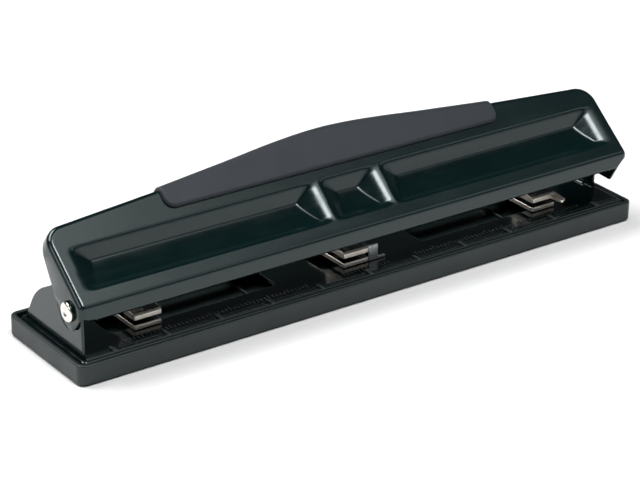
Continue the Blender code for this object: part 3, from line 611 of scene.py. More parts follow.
def lip_depth(v):
    """How deep the lip reaches behind the face where the top edge lies at v."""
    return LIP + LIP_GROWTH * max(0.0, LIP_GROWS_BELOW - v)


def side_plate_edge(shoulder):
    """The side plate's free edge, from the lip at the shoulder round the pivot lobe to the flange."""
    def on_lobe(a):
        return PIVOT[0] + LOBE * math.cos(a), PIVOT[1] + LOBE * math.sin(a)

    start, back = np.array(face(shoulder, -lip_depth(shoulder))), np.array(on_lobe(LOBE_FROM))
    edge = [tuple(start + (back - start) * k / 8) for k in range(1, 8)]
    last = -math.acos((CREASE[0] + EDGE_ROLL - PIVOT[0]) / LOBE)
    edge += [on_lobe(LOBE_FROM + (last - LOBE_FROM) * k / 18) for k in range(19)]
    low = edge[-1][1]
    edge += [(CREASE[0] + EDGE_ROLL, low + (FLANGE_BOTTOM - low) * k / 3) for k in (1, 2)]
    return edge


def build_lever():
    """The pressed lever as an open skin: face and flange, rolled edge, lip and side plates."""
    outline, shoulder = lever_outline()
    rows = lever_rows(shoulder)
    inner_x = [x + nx * EDGE_ROLL for x, v, nx, nv in outline]
    inner_v = [v + nv * EDGE_ROLL for x, v, nx, nv in outline]
    points, faces = [], []

    def put(x, y, z):
        points.append((x, float(y), float(z)))
        return len(points) - 1

    grid = []
    for y, z, ny, nz, v in rows:
        depths = pressed_depth(inner_x, v) if v > 0 else np.zeros(len(inner_x))
        grid.append([put(x, y + ny * d, z + nz * d) for x, d in zip(inner_x, depths)])
    for step in range(1, 11):
        vs = [shoulder + (top - shoulder) * step / 10 for top in inner_v]
        depths = pressed_depth(inner_x, vs)
        grid.append([put(x, *face(v, -d)) for x, v, d in zip(inner_x, vs, depths)])
    faces.extend(joined(grid, closed=False))

    # The rolled edge, round the left side, the top and the right side.
    count = len(rows)
    ring = [row[0] for row in grid[:count]] + grid[-1][1:-1] + [row[-1] for row in grid[:count]][::-1]
    for inset, depth in quarter_round((EDGE_ROLL, 0.0), (0.0, EDGE_ROLL), 8, level=True)[1:]:
        side = HALF_LENGTH - inset
        below = [put(-side, y + ny * depth, z + nz * depth) for y, z, ny, nz, v in rows]
        over = [put(x + nx * inset, *face(v + nv * inset, -depth)) for x, v, nx, nv in outline[1:-1]]
        above = [put(side, y + ny * depth, z + nz * depth) for y, z, ny, nz, v in rows]
        following = below + over + above[::-1]
        faces.extend(strip(ring, following, closed=False))
        ring = following

    # The lip along the top edge, and the side plates, each with its pivot bore.
    lip = ring[count - 1:len(ring) - count + 1]
    left, right = ring[:count], ring[::-1][:count]
    for step in range(1, 6):
        following = []
        for x, v, nx, nv in outline:
            depth = EDGE_ROLL + (lip_depth(v) - EDGE_ROLL) * step / 5
            following.append(put(x, *face(v, -depth)))
        faces.extend(strip(lip, following, closed=False))
        lip = following
        left, right = left + [lip[0]], right + [lip[-1]]
    for x, numbers in ((-HALF_LENGTH, left), (HALF_LENGTH, right)):
        plate = numbers + [put(x, y, z) for y, z in side_plate_edge(shoulder)]
        bore = [put(x, y, z) for y, z in circle(*PIVOT, BORE)]
        faces.extend(fill([[points[k][1:] for k in loop] for loop in (plate, bore)], plate + bore))

    shape = Shape(points, faces)
    lever = shape.build("lever_skin", LEVER_LOOK, sharp=50)
    outward(lever, Vector((0, OUT[0], OUT[1])))
    for crossings in CORNER_CUTS:
        cut_corner(lever, crossings)
    thicken(lever, LEVER_SHEET, True)
    weighted(lever)
    finish_piece(lever, "lever", ["lever_handle"])


def cut_corner(obj, crossings, reach=15.0):
    """Removes what lies below a plane through three points, within a reach along X of the first."""
    first, second, third = (Vector(point) * MM for point in crossings)
    normal = (second - first).cross(third - first).normalized()
    if normal.z > 0:
        normal.negate()
    made = bmesh.new()
    made.from_mesh(obj.data)
    near = [f for f in made.faces if abs(f.calc_center_median().x - first.x) < reach * MM]
    edges = {edge for f in near for edge in f.edges}
    verts = {vert for f in near for vert in f.verts}
    bmesh.ops.bisect_plane(
        made, geom=[*verts, *edges, *near], dist=1e-6, plane_co=first, plane_no=normal, clear_outer=True
    )
    made.to_mesh(obj.data)
    made.free()


def thicken(obj, sheet, even):
    """Gives an open skin its sheet's thickness, inwards."""
    solid = obj.modifiers.new("sheet", "SOLIDIFY")
    solid.thickness = sheet * MM
    solid.offset = -1
    solid.use_even_offset = even
    solid.use_rim = True


def outward(obj, direction):
    """Turns an open surface's faces so that its largest ones look along the direction."""
    facing = sum(p.area * p.normal.dot(direction) for p in obj.data.polygons)
    if facing < 0:
        obj.data.flip_normals()


# ---------------------------------------------------------------- grip pad

def pad_point(x, s, out):
    """A point on the pad at s from its low edge: up the face, over the rolled edge and down the lip."""
    top, rate = arch(x)
    size = math.hypot(1.0, rate)
    nx, nv = rate / size, -1 / size
    straight = top - EDGE_ROLL - PAD_LOW
    roll = EDGE_ROLL * math.pi / 2
    thin = PAD_WRAP / PAD_THICK
    if s <= straight:
        share = max(0.0, s) / straight
        y, z = face(PAD_LOW + s, out)
        return x + nx * EDGE_ROLL * share, float(y), float(z)
    if s <= straight + roll:
        a = (s - straight) / EDGE_ROLL
        reach = EDGE_ROLL + out * (1 + (thin - 1) * a / (math.pi / 2))
        inset = EDGE_ROLL - reach * math.sin(a)
        depth = EDGE_ROLL - reach * math.cos(a)
    else:
        inset = -out * thin
        depth = EDGE_ROLL + s - straight - roll
    y, z = face(top + nv * inset, -depth)
    return x + nx * inset, float(y), float(z)


def corner_inset(to_end, radius):
    """How far a rounded corner holds the pad's edge back at a distance from its end."""
    return radius - math.sqrt(max(radius**2 - max(radius - to_end, 0.0) ** 2, 0.0))


def pad_thickness(to_end, s, length):
    """The pad's thickness at s along its width: rounded off at its edges and slightly crowned."""
    gap = min(to_end, s, length - s)
    for radius, along in ((PAD_LOW_CORNER, s), (PAD_HIGH_CORNER, length - s)):
        if to_end < radius and along < radius:
            gap = min(gap, radius - math.hypot(radius - to_end, radius - along))
    rise = 1 - max(0.0, 1 - max(gap, 0.0) / PAD_EDGE_ROUNDING) ** 2
    crown = PAD_CROWN * (1 - (2 * s / length - 1) ** 2)
    return (PAD_THICK - PAD_GAP - PAD_CROWN + crown) * math.sqrt(max(rise, 0.0))


def build_pad():
    """The grip pad: its outer face and its underside over the same places."""
    reach = PAD_EDGE_STEPS[-1]
    middle = [reach + (PAD_HALF - reach) * k / 34 for k in range(1, 35)]
    half = [-PAD_HALF + e for e in (*PAD_EDGE_STEPS, *middle)]
    points, upper, lower = [], [], []
    for x in half + [-x for x in reversed(half[:-1])]:
        to_end = PAD_HALF - abs(x)
        length = arch(x)[0] - EDGE_ROLL - PAD_LOW + EDGE_ROLL * math.pi / 2 + PAD_REACH - EDGE_ROLL
        first, last = corner_inset(to_end, PAD_LOW_CORNER), length - corner_inset(to_end, PAD_HIGH_CORNER)
        inner = [first + reach + (last - first - 2 * reach) * k / 27 for k in range(1, 27)]
        places = [first + e for e in PAD_EDGE_STEPS] + inner + [last - e for e in reversed(PAD_EDGE_STEPS)]
        outs = [PAD_GAP + pad_thickness(to_end, s, length) for s in places]
        upper.append(add_ring(points, [pad_point(x, s, out) for s, out in zip(places, outs)]))
        lower.append(add_ring(points, [pad_point(x, s, PAD_GAP) for s in places]))
    shape = Shape(points, joined(upper, closed=False) + joined(lower[::-1], closed=False))
    pad = weighted(shape.build("grip_pad_foam", PAD_LOOK, sharp=60, merge=2e-6))
    finish_piece(pad, "lever", ["grip_pad"])


# ---------------------------------------------------------------- tray and base frame

TRAY_HALF, TRAY_FRONT, TRAY_BACK = 150.0, -29.0, 31.4
TRAY_TOP, TRAY_WALL, TRAY_FLOOR = 9.5, 2.2, 1.8
TRAY_CORNER, TRAY_ROUNDING, RIM_OUTSIDE, RIM_INSIDE = 4.0, 0.9, 0.75, 0.4
TRAY_RIBS = (-96.0, -48.0, 0.0, 48.0, 96.0)
FRAME_HALF = (147.3, 26.4)
FRAME_TOP, FRAME_SHEET, SKIRT_BOTTOM = 9.6, 1.4, 4.4
FRAME_FOLD, HOLE_ROUNDING = 1.5, 0.3
EAR_X = (144.3, 145.8)
EAR_FOLD = 2.0
# Spans along X of the windows under the heads, the clamp screws' slots and the slits beside the ears.
WINDOWS = ((-124.0, -40.0), (-15.0, 15.0), (40.0, 124.0))
CLAMP_SLOTS = ((-110.5, -50.5), (-2.5, 2.5), (50.5, 110.5))
EAR_SLITS = ((-144.1, -143.3), (143.3, 144.1))
# Spans with position marks, in whole millimetres, and the nubs along the bead.
MARKED = ((-124, -30), (-14, 14), (30, 124))
FIRST_NUB, NUB_PITCH, NUBS = -131.0, 26.2, 11


def build_tray():
    """The chip tray's shell, from its foot over the rim and down inside, with ribs across its floor."""
    outline = rectangle(-TRAY_HALF, TRAY_HALF, TRAY_FRONT, TRAY_BACK, TRAY_CORNER, 10)
    profile = quarter_round((TRAY_ROUNDING, 0.0), (0.0, TRAY_ROUNDING), 4)
    profile += [(0.0, 3.0), (0.0, 6.0)]
    profile += quarter_round((0.0, TRAY_TOP - RIM_OUTSIDE), (RIM_OUTSIDE, TRAY_TOP), 4)
    inner, low = TRAY_WALL - RIM_INSIDE, TRAY_TOP - RIM_INSIDE
    profile += quarter_round((inner, TRAY_TOP), (TRAY_WALL, low), 3, level=True)
    foot, start = TRAY_WALL + TRAY_ROUNDING, TRAY_FLOOR + TRAY_ROUNDING
    profile += quarter_round((TRAY_WALL, start), (foot, TRAY_FLOOR), 4)
    shape = Shape()
    swept(shape, [outline], profile)
    for x in TRAY_RIBS:
        rib = rectangle(x - 0.6, x + 0.6, TRAY_FRONT + 4.5, TRAY_BACK - 4.5, 0.3, 2)
        rounded_plate(shape, [rib], TRAY_FLOOR - 0.4, 3.4, 0.25)
    tray = weighted(shape.build("chip_tray_shell", TRAY_LOOK))
    finish_piece(tray, "tray", ["chip_tray"])


def frame_holes():
    """Outlines of every hole through the base plate."""
    holes = [rectangle(low, high, -9.6, 9.6, 3.2, 8) for low, high in WINDOWS]
    holes += [rectangle(low, high, CLAMP_Y - 1.9, CLAMP_Y + 1.9, 1.86, 8) for low, high in CLAMP_SLOTS]
    holes += [rectangle(low, high, -6.2, -0.6, 0.35, 4) for low, high in EAR_SLITS]
    return holes


def ear_outline(side):
    """An ear in Y and Z. The right one is cut away in front, above the paper."""
    foot, top, back = FRAME_TOP - 0.7, 35.6, 22.6
    front = [(-23.6, foot, 0)]
    if side > 0:
        front = [(-6.3, foot, 0), (-6.3, 18.0, 3.0), (-17.6, 17.6, 0.6), (-22.8, 27.0, 3.0)]
    return fillet(front + [
        (-back, top, 6.4), (-2.5, top, 9.0), (14.2, 26.4, 26.0), (22.4, 11.6, 0), (back, foot, 0),
    ], 12)


def build_plate():
    """The folded base sheet: a plate with windows and slots, and the skirt round it."""
    points, faces = [], []

    def add_walls(loop, profile):
        rings = []
        for inset, height in profile:
            rings.append(add_ring(points, [(u, v, height) for u, v in drawn_in(loop, inset)]))
        faces.extend(joined(rings))
        return rings[0]

    pan = rectangle(-FRAME_HALF[0], FRAME_HALF[0], -FRAME_HALF[1], FRAME_HALF[1], 2.4, 8)
    fold = quarter_round((FRAME_FOLD, FRAME_TOP), (0.0, FRAME_TOP - FRAME_FOLD), 6, level=True)
    loops = [add_walls(pan, fold + [(0.0, 6.0), (0.0, SKIRT_BOTTOM)])]
    edge = quarter_round((-HOLE_ROUNDING, FRAME_TOP), (0.0, FRAME_TOP - HOLE_ROUNDING), 3, level=True)
    for hole in frame_holes():
        loops.append(add_walls(hole, edge + [(0.0, FRAME_TOP - FRAME_SHEET + 0.05)]))
    flat = [[points[k][:2] for k in loop] for loop in loops]
    faces.extend(fill(flat, [k for loop in loops for k in loop]))
    shape = Shape(points, faces)
    plate = shape.build("base_plate", FRAME_LOOK)
    outward(plate, Vector((0, 0, 1)))
    thicken(plate, 1.3, False)
    weighted(plate)
    finish_piece(plate, "frame", ["base_frame"])


def build_ears():
    """The two upright ears, each with the inside of its fold."""
    shape = Shape()
    inner, root = EAR_X[0], EAR_X[0] + 0.4
    foot, top = FRAME_TOP - 0.2, FRAME_TOP + EAR_FOLD
    section = [(inner, top), (root, top), (root, foot), (inner - EAR_FOLD, foot)]
    section += quarter_round((inner - EAR_FOLD, FRAME_TOP), (inner, top), 6, level=True)[:-1]
    for side, fold_front in ((-1, -22.8), (1, -0.2)):
        low, high = sorted((side * EAR_X[0], side * EAR_X[1]))
        rounded_plate(shape, [ear_outline(side), circle(*PIVOT, BORE)], low, high, 0.35, ACROSS)
        fold = [(side * x, z) for x, z in section]
        rounded_plate(shape, [fold], fold_front, 21.4, 0.02, ALONG, 1)
    ears = weighted(shape.build("frame_ears", FRAME_LOOK))
    finish_piece(ears, "frame", [])


def build_front_rail():
    """The bead rolled along the frame's front edge, and a low rib behind it."""
    shape = Shape()
    rounded_plate(shape, [circle(-24.9, FRAME_TOP, 0.9, 24)], -145.0, 145.0, 0.3, ACROSS)
    low, high = FRAME_TOP - 0.3, FRAME_TOP + 0.35
    rib = fillet(((-22.6, low, 0), (-21.4, low, 0), (-21.5, high, 0.25), (-22.5, high, 0.25)), 3)
    rounded_plate(shape, [rib], -143.8, 143.8, 0.2, ACROSS)
    rail = weighted(shape.build("front_bead_rail", FRAME_LOOK))
    finish_piece(rail, "frame", [])


def build_marks():
    """Nubs along the bead, and plain ticks on the plate behind it with a longer one every 10 mm."""
    shape = Shape()
    for k in range(NUBS):
        x = FIRST_NUB + NUB_PITCH * k
        nub = rectangle(x - 0.8, x + 0.8, -25.5, -20.6, 0.3, 3)
        rounded_plate(shape, [nub], FRAME_TOP + 0.2, FRAME_TOP + 1.0, 0.2)
    for low, high in MARKED:
        for x in range(low, high + 1, 2):
            back = -16.4 if x % 10 == 0 else -17.4
            tick = rectangle(x - 0.28, x + 0.28, -19.6, back, 0.2, 2)
            rounded_plate(shape, [tick], FRAME_TOP - 0.1, FRAME_TOP + 0.16, 0.1, steps=2)
    marks = weighted(shape.build("frame_scale_marks", MARK_LOOK))
    finish_piece(marks, "frame", [])


# ---------------------------------------------------------------- punch heads and their hardware

DIE_BOTTOM, DIE_TOP = 9.9, 12.0
JAW_BOTTOM, JAW_TOP = 14.2, 17.3
TOWER_TOP, TOWER = 21.4, 5.6
HEAD_FRONT, HEAD_BACK = -13.5, 24.0
WEB_FRONT, WEB_BACK = 11.0, 14.6
HEAD_HALF = 6.7
PIN_BORE = 3.58
CLAMP_Y = 19.4
PIN_TOP, PIN_TIP, PIN_RADIUS = 35.0, 14.6, 3.5
RING_LOW, RING_HIGH, RING_RADIUS, RING_BORE = 31.2, 32.2, 5.9, 2.9
SPRING_LOW, SPRING_HIGH, SPRING_RADIUS, SPRING_TURNS = 21.55, 31.05, 4.75, 4.5
WIRE = 0.42


def build_head(side, x, body):
    """A C-shaped head: die plate, throat for the paper, jaw with a guide tower, foot with its screw."""
    shape = Shape()
    section = fillet((
        (HEAD_FRONT, DIE_BOTTOM, 0.3),
        (HEAD_BACK, DIE_BOTTOM, 0.3),
        (HEAD_BACK, DIE_TOP + 1.0, 0.5),
        (WEB_BACK + 0.1, DIE_TOP + 1.0, 0.8),
        (WEB_BACK, JAW_TOP, 1.2),
        (HEAD_FRONT + 0.9, JAW_TOP, 0.35),
        (HEAD_FRONT, JAW_TOP - 0.9, 0.3),
        (HEAD_FRONT, JAW_BOTTOM + 0.3, 0.15),
        (HEAD_FRONT + 0.8, JAW_BOTTOM, 0.2),
        (WEB_FRONT, JAW_BOTTOM, 0.5),
        (WEB_FRONT, DIE_TOP, 0.5),
        (HEAD_FRONT + 0.5, DIE_TOP, 0.2),
        (HEAD_FRONT, DIE_TOP - 0.5, 0.2),
    ), 3)
    rounded_plate(shape, [section], x - HEAD_HALF, x + HEAD_HALF, 0.35, ACROSS)
    # Guide tower, its root fillet and the rim of the bore.
    profile = [(TOWER + 1.1, JAW_TOP - 0.2), (TOWER + 0.5, JAW_TOP + 0.12), (TOWER + 0.12, JAW_TOP + 0.5)]
    profile += [(TOWER, JAW_TOP + 1.1), (TOWER, TOWER_TOP - 0.4), (TOWER - 0.12, TOWER_TOP - 0.12)]
    profile += [(TOWER - 0.4, TOWER_TOP), (PIN_BORE + 0.35, TOWER_TOP), (PIN_BORE + 0.1, TOWER_TOP - 0.1)]
    profile += [(PIN_BORE, TOWER_TOP - 0.35), (PIN_BORE, JAW_TOP - 0.2)]
    turned(shape, profile, Matrix.Translation((x, 0, 0)), 56, looped=True)
    head = shape.build(f"punch_head_{side}_body", NICKEL_LOOK, sharp=35)
    cut = Shape()
    for height, depth in ((DIE_BOTTOM - 1, DIE_TOP + 1), (JAW_BOTTOM - 1, TOWER_TOP + 1)):
        rounded_plate(cut, [circle(x, 0.0, PIN_BORE, 48)], height, depth, 0.01, steps=1)
    rounded_plate(cut, [circle(x, CLAMP_Y, 1.65, 32)], 5.0, 16.0, 0.01, steps=1)
    carve(head, cut)
    # The level faces take a dark copy of the nickel as painted shade; the cut edges are bright nickel.
    head.data.materials.append(NICKEL_SHADE_LOOK)
    for polygon in head.data.polygons:
        if abs(polygon.normal.z) > 0.8:
            polygon.material_index = 1
    weighted(head)
    finish_piece(head, body, [f"punch_head_{side}"])


def carve(obj, cut):
    """Cuts the gathered shapes out of a piece, and leaves plain mesh."""
    look = obj.data.materials[0]
    cutter = cut.build(obj.name + "_cutter", look)
    modifier = obj.modifiers.new("bores", "BOOLEAN")
    modifier.operation = "DIFFERENCE"
    modifier.object = cutter
    modifier.solver = "EXACT"
    modifier.use_self = True
    bpy.context.view_layer.update()
    graph = bpy.context.evaluated_depsgraph_get()
    mesh = bpy.data.meshes.new_from_object(obj.evaluated_get(graph))
    obj.modifiers.clear()
    obj.data = mesh
    mesh.materials.clear()
    mesh.materials.append(look)
    for polygon in mesh.polygons:
        polygon.material_index = 0
    mesh.set_sharp_from_angle(angle=math.radians(35))
    bpy.data.objects.remove(cutter, do_unlink=True)


def build_pin(side, x, body):
    """A punch pin with a domed top, a groove for its ring and a hollow-ground tip, and the ring."""
    shape = Shape()
    dome = 6.0
    profile = [(0.0, PIN_TOP)]
    for k in range(1, 9):
        a = math.asin(3.3 / dome) * k / 8
        profile.append((dome * math.sin(a), PIN_TOP - dome * (1 - math.cos(a))))
    profile += [(PIN_RADIUS, 33.85), (PIN_RADIUS, 32.5), (3.42, 32.4), (2.7, 32.4), (2.7, 31.0)]
    profile += [(3.42, 31.0), (PIN_RADIUS, 30.9), (PIN_RADIUS, PIN_TIP), (3.46, PIN_TIP - 0.1)]
    profile += [(2.9, PIN_TIP + 0.02), (0.0, PIN_TIP + 0.7)]
    turned(shape, profile, Matrix.Translation((x, 0, 0)))
    build_piece(shape, f"punch_pin_{side}", PIN_LOOK, body, 30)

    ring = Shape()
    mouth = math.radians(38)
    angles = [math.pi / 2 + mouth + 2 * (math.pi - mouth) * k / 48 for k in range(49)]
    outer = [(x + RING_RADIUS * math.cos(a), RING_RADIUS * math.sin(a)) for a in angles]
    inner = [(x + RING_BORE * math.cos(a), RING_BORE * math.sin(a)) for a in reversed(angles)]
    rounded_plate(ring, [outer + inner], RING_LOW, RING_HIGH, 0.18)
    build_piece(ring, f"retaining_ring_{side}", ZINC_LOOK, body)


def build_spring(side, x, body):
    """A compression spring with its end turns closed and ground, seated on the guide tower."""
    low, high = SPRING_LOW + WIRE, SPRING_HIGH - WIRE
    closed = 0.5 / SPRING_TURNS
    points, rings = [], []
    count = int(SPRING_TURNS * 48)
    for k in range(count + 1):
        rise = np.interp(k / count, (0.0, closed, 1 - closed, 1.0), (0.0, 0.045, 0.955, 1.0))
        a = 2 * math.pi * SPRING_TURNS * k / count
        ring = []
        for out, up in circle(0.0, 0.0, WIRE, 12):
            reach = SPRING_RADIUS + out
            ring.append((x + reach * math.cos(a), reach * math.sin(a), low + (high - low) * rise + up))
        rings.append(add_ring(points, ring))
    shape = Shape(points, joined(rings) + [rings[0][::-1], rings[-1]])
    spring = shape.build(f"return_spring_{side}_coil", SPRING_LOOK, sharp=60)
    finish_piece(spring, body, [f"return_spring_{side}"])
    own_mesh(spring)


def build_clamp(side, x, body):
    """The screw through the head's foot, domed, threaded and cross-slotted, and its square nut."""
    shape = Shape()
    seat, thread, end = 13.15, 1.5, 6.25
    profile = [(0.0, seat + 2.0), (1.4, seat + 1.95), (2.2, seat + 1.72), (2.8, seat + 1.25)]
    profile += [(3.05, seat + 0.7), (3.1, seat + 0.2), (3.0, seat), (thread, seat)]
    height = seat - 0.4
    while height > end + 0.15:
        profile += [(thread, height), (thread - 0.16, height - 0.25)]
        height -= 0.5
    profile += [(thread - 0.2, end), (0.0, end)]
    turned(shape, profile, Matrix.Translation((x, CLAMP_Y, 0)), 48)
    screw = shape.build(f"clamp_screw_{side}_body", ZINC_LOOK, sharp=35)
    cut = Shape()
    for wide, deep in ((1.9, 0.38), (0.38, 1.9)):
        blade = rectangle(x - wide, x + wide, CLAMP_Y - deep, CLAMP_Y + deep, 0.15, 2)
        rounded_plate(cut, [blade], seat + 0.75, seat + 4.0, 0.02, steps=1)
    carve(screw, cut)
    finish_piece(weighted(screw), body, [f"clamp_screw_{side}"])
    nut = Shape()
    outer = rectangle(x - 3.0, x + 3.0, CLAMP_Y - 3.0, CLAMP_Y + 3.0, 0.6, 4)
    rounded_plate(nut, [outer, circle(x, CLAMP_Y, 1.6, 32)], 6.05, 8.05, 0.25)
    build_piece(nut, f"clamp_nut_{side}", ZINC_LOOK, body)


def build_pointer(x, body):
    """The thin pointer that hooks round the right head's jaw and reaches over the position marks."""
    beside, before = x + HEAD_HALF + 0.3, HEAD_FRONT - 0.3
    outline = fillet((
        (beside, before + 4.4, 0.2),
        (beside + 1.4, before + 4.4, 0.5),
        (beside + 1.2, before - 0.4, 1.5),
        (beside + 0.3, before - 6.3, 0.8),
        (beside - 2.8, before - 7.7, 0.8),
        (beside - 3.8, before - 2.0, 1.5),
        (beside - 3.6, before, 0.2),
        (beside, before, 0),
    ), 4)
    shape = Shape()
    rounded_plate(shape, [outline], 14.9, 16.1, 0.25)
    build_piece(shape, "pointer_tab_right", NICKEL_LOOK, body)


def build_gauge_tab():
    """The bent plate that stands beside the centre head, with its foot to the right."""
    low, sheet = DIE_BOTTOM, 1.1
    first, last, foot_end, top = 7.0, 12.0, 16.2, 17.2
    section = fillet((
        (first, low, 0.2),
        (foot_end, low, 0.3),
        (foot_end, low + sheet, 0.4),
        (last, low + sheet, 0.6),
        (last, top, 0.7),
        (first, top, 0.4),
    ), 4)
    shape = Shape()
    # Local x, y, z run along world X, Z, -Y.
    placing = Matrix.Rotation(math.pi / 2, 4, "X")
    rounded_plate(shape, [section], -HEAD_FRONT - sheet, -HEAD_FRONT, 0.25, placing)
    build_piece(shape, "gauge_tab_centre", ZINC_LOOK, "frame")


def build_rivet(side, sign):
    """A pivot rivet: a dished head outside the lever's side plate and a formed tail inside the ear."""
    shape = Shape()
    seat, shank = HALF_LENGTH + 0.1, 3.0
    crown = seat + 1.85
    profile = [(0.0, crown - 0.75), (0.8, crown - 0.73), (1.2, crown - 0.6), (1.5, crown - 0.3)]
    profile += [(1.75, crown - 0.08), (2.1, crown), (3.0, crown - 0.05), (3.7, crown - 0.2)]
    profile += [(4.15, crown - 0.45), (4.4, crown - 0.8), (4.5, crown - 1.2), (4.5, seat), (shank, seat)]
    tail = EAR_X[0] - 0.1
    profile += [(shank, tail), (4.35, tail), (4.4, tail - 0.15), (4.3, tail - 0.5), (3.6, tail - 0.95)]
    profile += [(2.4, tail - 1.0), (1.8, tail - 0.7), (0.0, tail - 0.6)]
    place = Matrix.Translation((0, *PIVOT)) @ Matrix.Rotation(sign * math.pi / 2, 4, "Y")
    turned(shape, profile, place, 72)
    rivet = build_piece(shape, f"pivot_rivet_{side}", RIVET_LOOK, "frame", 32)
    # The head's side takes the lever's dark enamel as painted shade, so only its face shows bright.
    rivet.data.materials.append(LEVER_LOOK)
    for polygon in rivet.data.polygons:
        beyond_seat = abs(polygon.center.x) >= (seat - 0.5) * MM
        polygon.material_index = int(beyond_seat and abs(polygon.normal.x) <= 0.35)


def build_presser():
    """The bent strip inside the lever that pushes all three pins."""
    low, sheet, wide = 35.3, 1.4, 5.5
    front, back = 0.4 - sheet / 2, 0.4 + sheet / 2
    skin = 1.35 / math.cos(SLOPE)

    def under_face(y):
        return CREASE[1] + (y - CREASE[0]) * math.tan(SLOPE) - skin

    section = fillet((
        (-wide, low, 0.35),
        (wide, low, 0.35),
        (wide, low + sheet, 0.35),
        (back, low + sheet, 0.8),
        (back, under_face(back), 0.2),
        (front, under_face(front), 0.2),
        (front, low + sheet, 0.8),
        (-wide, low + sheet, 0.35),
    ), 3)
    shape = Shape()
    rounded_plate(shape, [section], -128.0, 128.0, 0.3, ACROSS)
    build_piece(shape, "presser_bar", ZINC_LOOK, "lever")


# ---------------------------------------------------------------- floor, light and camera

# Each softbox: name, place and aim in metres, width and height in metres, and radiance.
SOFTBOXES = (
    ("overhead_softbox", (0.65, -0.62, 1.45), (0.65, -0.62, 0.0), 1.7, 1.1, 2.1),
    ("softbox_lamp", (0.05, -0.52, 1.44), (0.0, 0.0, 0.0), 0.36, 0.40, 15.0),
    ("back_softbox", (-0.45, 0.85, 1.5), (0.0, 0.2, 0.0), 1.3, 0.8, 7.5),
    ("front_softbox", (0.90, -1.04, 0.98), (0.0, 0.0, 0.03), 1.1, 0.55, 0.7),
    ("left_fill", (-1.6, -0.2, 1.2), (0.0, 0.0, 0.02), 0.9, 0.9, 2.0),
)
# The overhead softbox's brightness from its left end to its right, as (place, share).
OVERHEAD_FADE = ((0.0, 1.0), (0.40, 0.95), (0.54, 0.4), (0.68, 0.10), (0.95, 0.03))
# The world's brightness by the height of a direction: full up to the first, least from the second on.
HORIZON = (("From Min", 0.08), ("From Max", 0.26), ("To Min", 0.85), ("To Max", 0.035))
FLOOR_HALF, FLOOR_CELLS, FLOOR_DROP = 3000.0, 12, 0.15
CAMERA_PLACE = Vector((-0.59505, -0.80382, 0.48286))
CAMERA_RIGHT = Vector((0.81280, -0.58233, 0.01581))
CAMERA_UP = Vector((0.23446, 0.35185, 0.90622))
FOCAL_LENGTH, SENSOR_WIDTH = 139.67, 36.0


def build_stage():
    """The floor, the world and the softboxes."""
    places = [-FLOOR_HALF + 2 * FLOOR_HALF * k / FLOOR_CELLS for k in range(FLOOR_CELLS + 1)]
    rows = [[j * len(places) + i for i in range(len(places))] for j in range(len(places))]
    shape = Shape([(x, y, -FLOOR_DROP) for y in places for x in places], joined(rows, closed=False))
    floor = shape.build("floor", floor_look())
    outward(floor, Vector((0, 0, 1)))
    build_world()
    for name, place, aim, wide, tall, radiance in SOFTBOXES:
        light = add_light(name, place, aim, wide, tall, radiance)
        if name == "overhead_softbox":
            fade(light, OVERHEAD_FADE)


def build_world():
    """A pale horizon that darkens upwards, so that the polished sheet under the lever stays dark."""
    world = bpy.data.worlds.new("studio")
    bpy.context.scene.world = world
    world.use_nodes = True
    tree = world.node_tree
    background = tree.nodes["Background"]
    background.inputs["Color"].default_value = (0.95, 0.97, 1.0, 1.0)
    direction = tree.nodes.new("ShaderNodeTexCoord")
    split = tree.nodes.new("ShaderNodeSeparateXYZ")
    height = tree.nodes.new("ShaderNodeMapRange")
    height.interpolation_type = "SMOOTHSTEP"
    for name, value in HORIZON:
        height.inputs[name].default_value = value
    tree.links.new(direction.outputs["Generated"], split.inputs[0])
    tree.links.new(split.outputs["Z"], height.inputs["Value"])
    tree.links.new(height.outputs["Result"], background.inputs["Strength"])


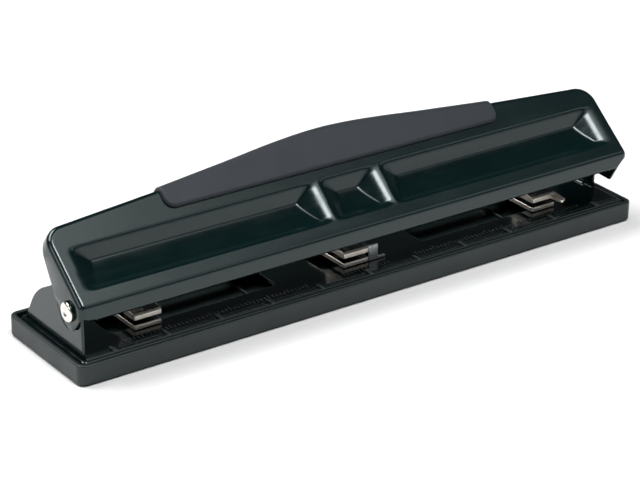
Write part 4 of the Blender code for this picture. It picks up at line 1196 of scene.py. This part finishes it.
def fade(light, stops):
    """Gives a softbox a brightness that changes along its width, as (place, share) stops."""
    light.use_nodes = True
    tree = light.node_tree
    emission = tree.nodes["Emission"]
    place = tree.nodes.new("ShaderNodeNewGeometry")
    split = tree.nodes.new("ShaderNodeSeparateXYZ")
    ramp = tree.nodes.new("ShaderNodeValToRGB")
    ramp.color_ramp.interpolation = "EASE"
    elements = ramp.color_ramp.elements
    while len(elements) < len(stops):
        elements.new(0.5)
    for element, (where, share) in zip(elements, stops):
        element.position = where
        element.color = (share, share, share, 1.0)
    tree.links.new(place.outputs["Parametric"], split.inputs[0])
    tree.links.new(split.outputs["X"], ramp.inputs["Fac"])
    tree.links.new(ramp.outputs["Color"], emission.inputs["Strength"])


def add_light(name, place, aim, wide, tall, radiance):
    """A rectangular softbox of an even radiance, aimed at a point."""
    light = bpy.data.lights.new(name, "AREA")
    light.shape = "RECTANGLE"
    light.size = wide
    light.size_y = tall
    light.energy = 4 * wide * tall * radiance
    obj = bpy.data.objects.new(name, light)
    bpy.context.scene.collection.objects.link(obj)
    obj.location = place
    obj.rotation_mode = "QUATERNION"
    obj.rotation_quaternion = (Vector(aim) - Vector(place)).to_track_quat("-Z", "Y")
    return light


def build_camera():
    """The camera at the viewing angle, with a level horizon and no depth of field."""
    data = bpy.data.cameras.new("camera")
    data.sensor_fit = "HORIZONTAL"
    data.sensor_width = SENSOR_WIDTH
    data.lens = FOCAL_LENGTH
    data.clip_start = 0.05
    data.clip_end = 50.0
    camera = bpy.data.objects.new("camera", data)
    bpy.context.scene.collection.objects.link(camera)
    back = CAMERA_RIGHT.cross(CAMERA_UP).normalized()
    up = back.cross(CAMERA_RIGHT).normalized()
    turn = Matrix((CAMERA_RIGHT.normalized(), up, back)).transposed()
    camera.matrix_world = Matrix.Translation(CAMERA_PLACE) @ turn.to_4x4()
    bpy.context.scene.camera = camera
    bpy.context.scene.view_settings.view_transform = "Standard"


def main():
    build_tray()
    build_plate()
    build_ears()
    build_front_rail()
    build_marks()
    build_lever()
    build_pad()
    build_presser()
    for side, x in SIDES:
        head_body = "frame" if side == "centre" else f"head_{side}"
        build_head(side, x, head_body)
        build_pin(side, x, f"pin_{side}")
        build_spring(side, x, head_body)
        build_clamp(side, x, head_body)
    for side, sign in (("left", -1), ("right", 1)):
        build_rivet(side, sign)
    build_pointer(HEAD_PITCH, "head_right")
    build_gauge_tab()
    build_stage()
    build_camera()


main()
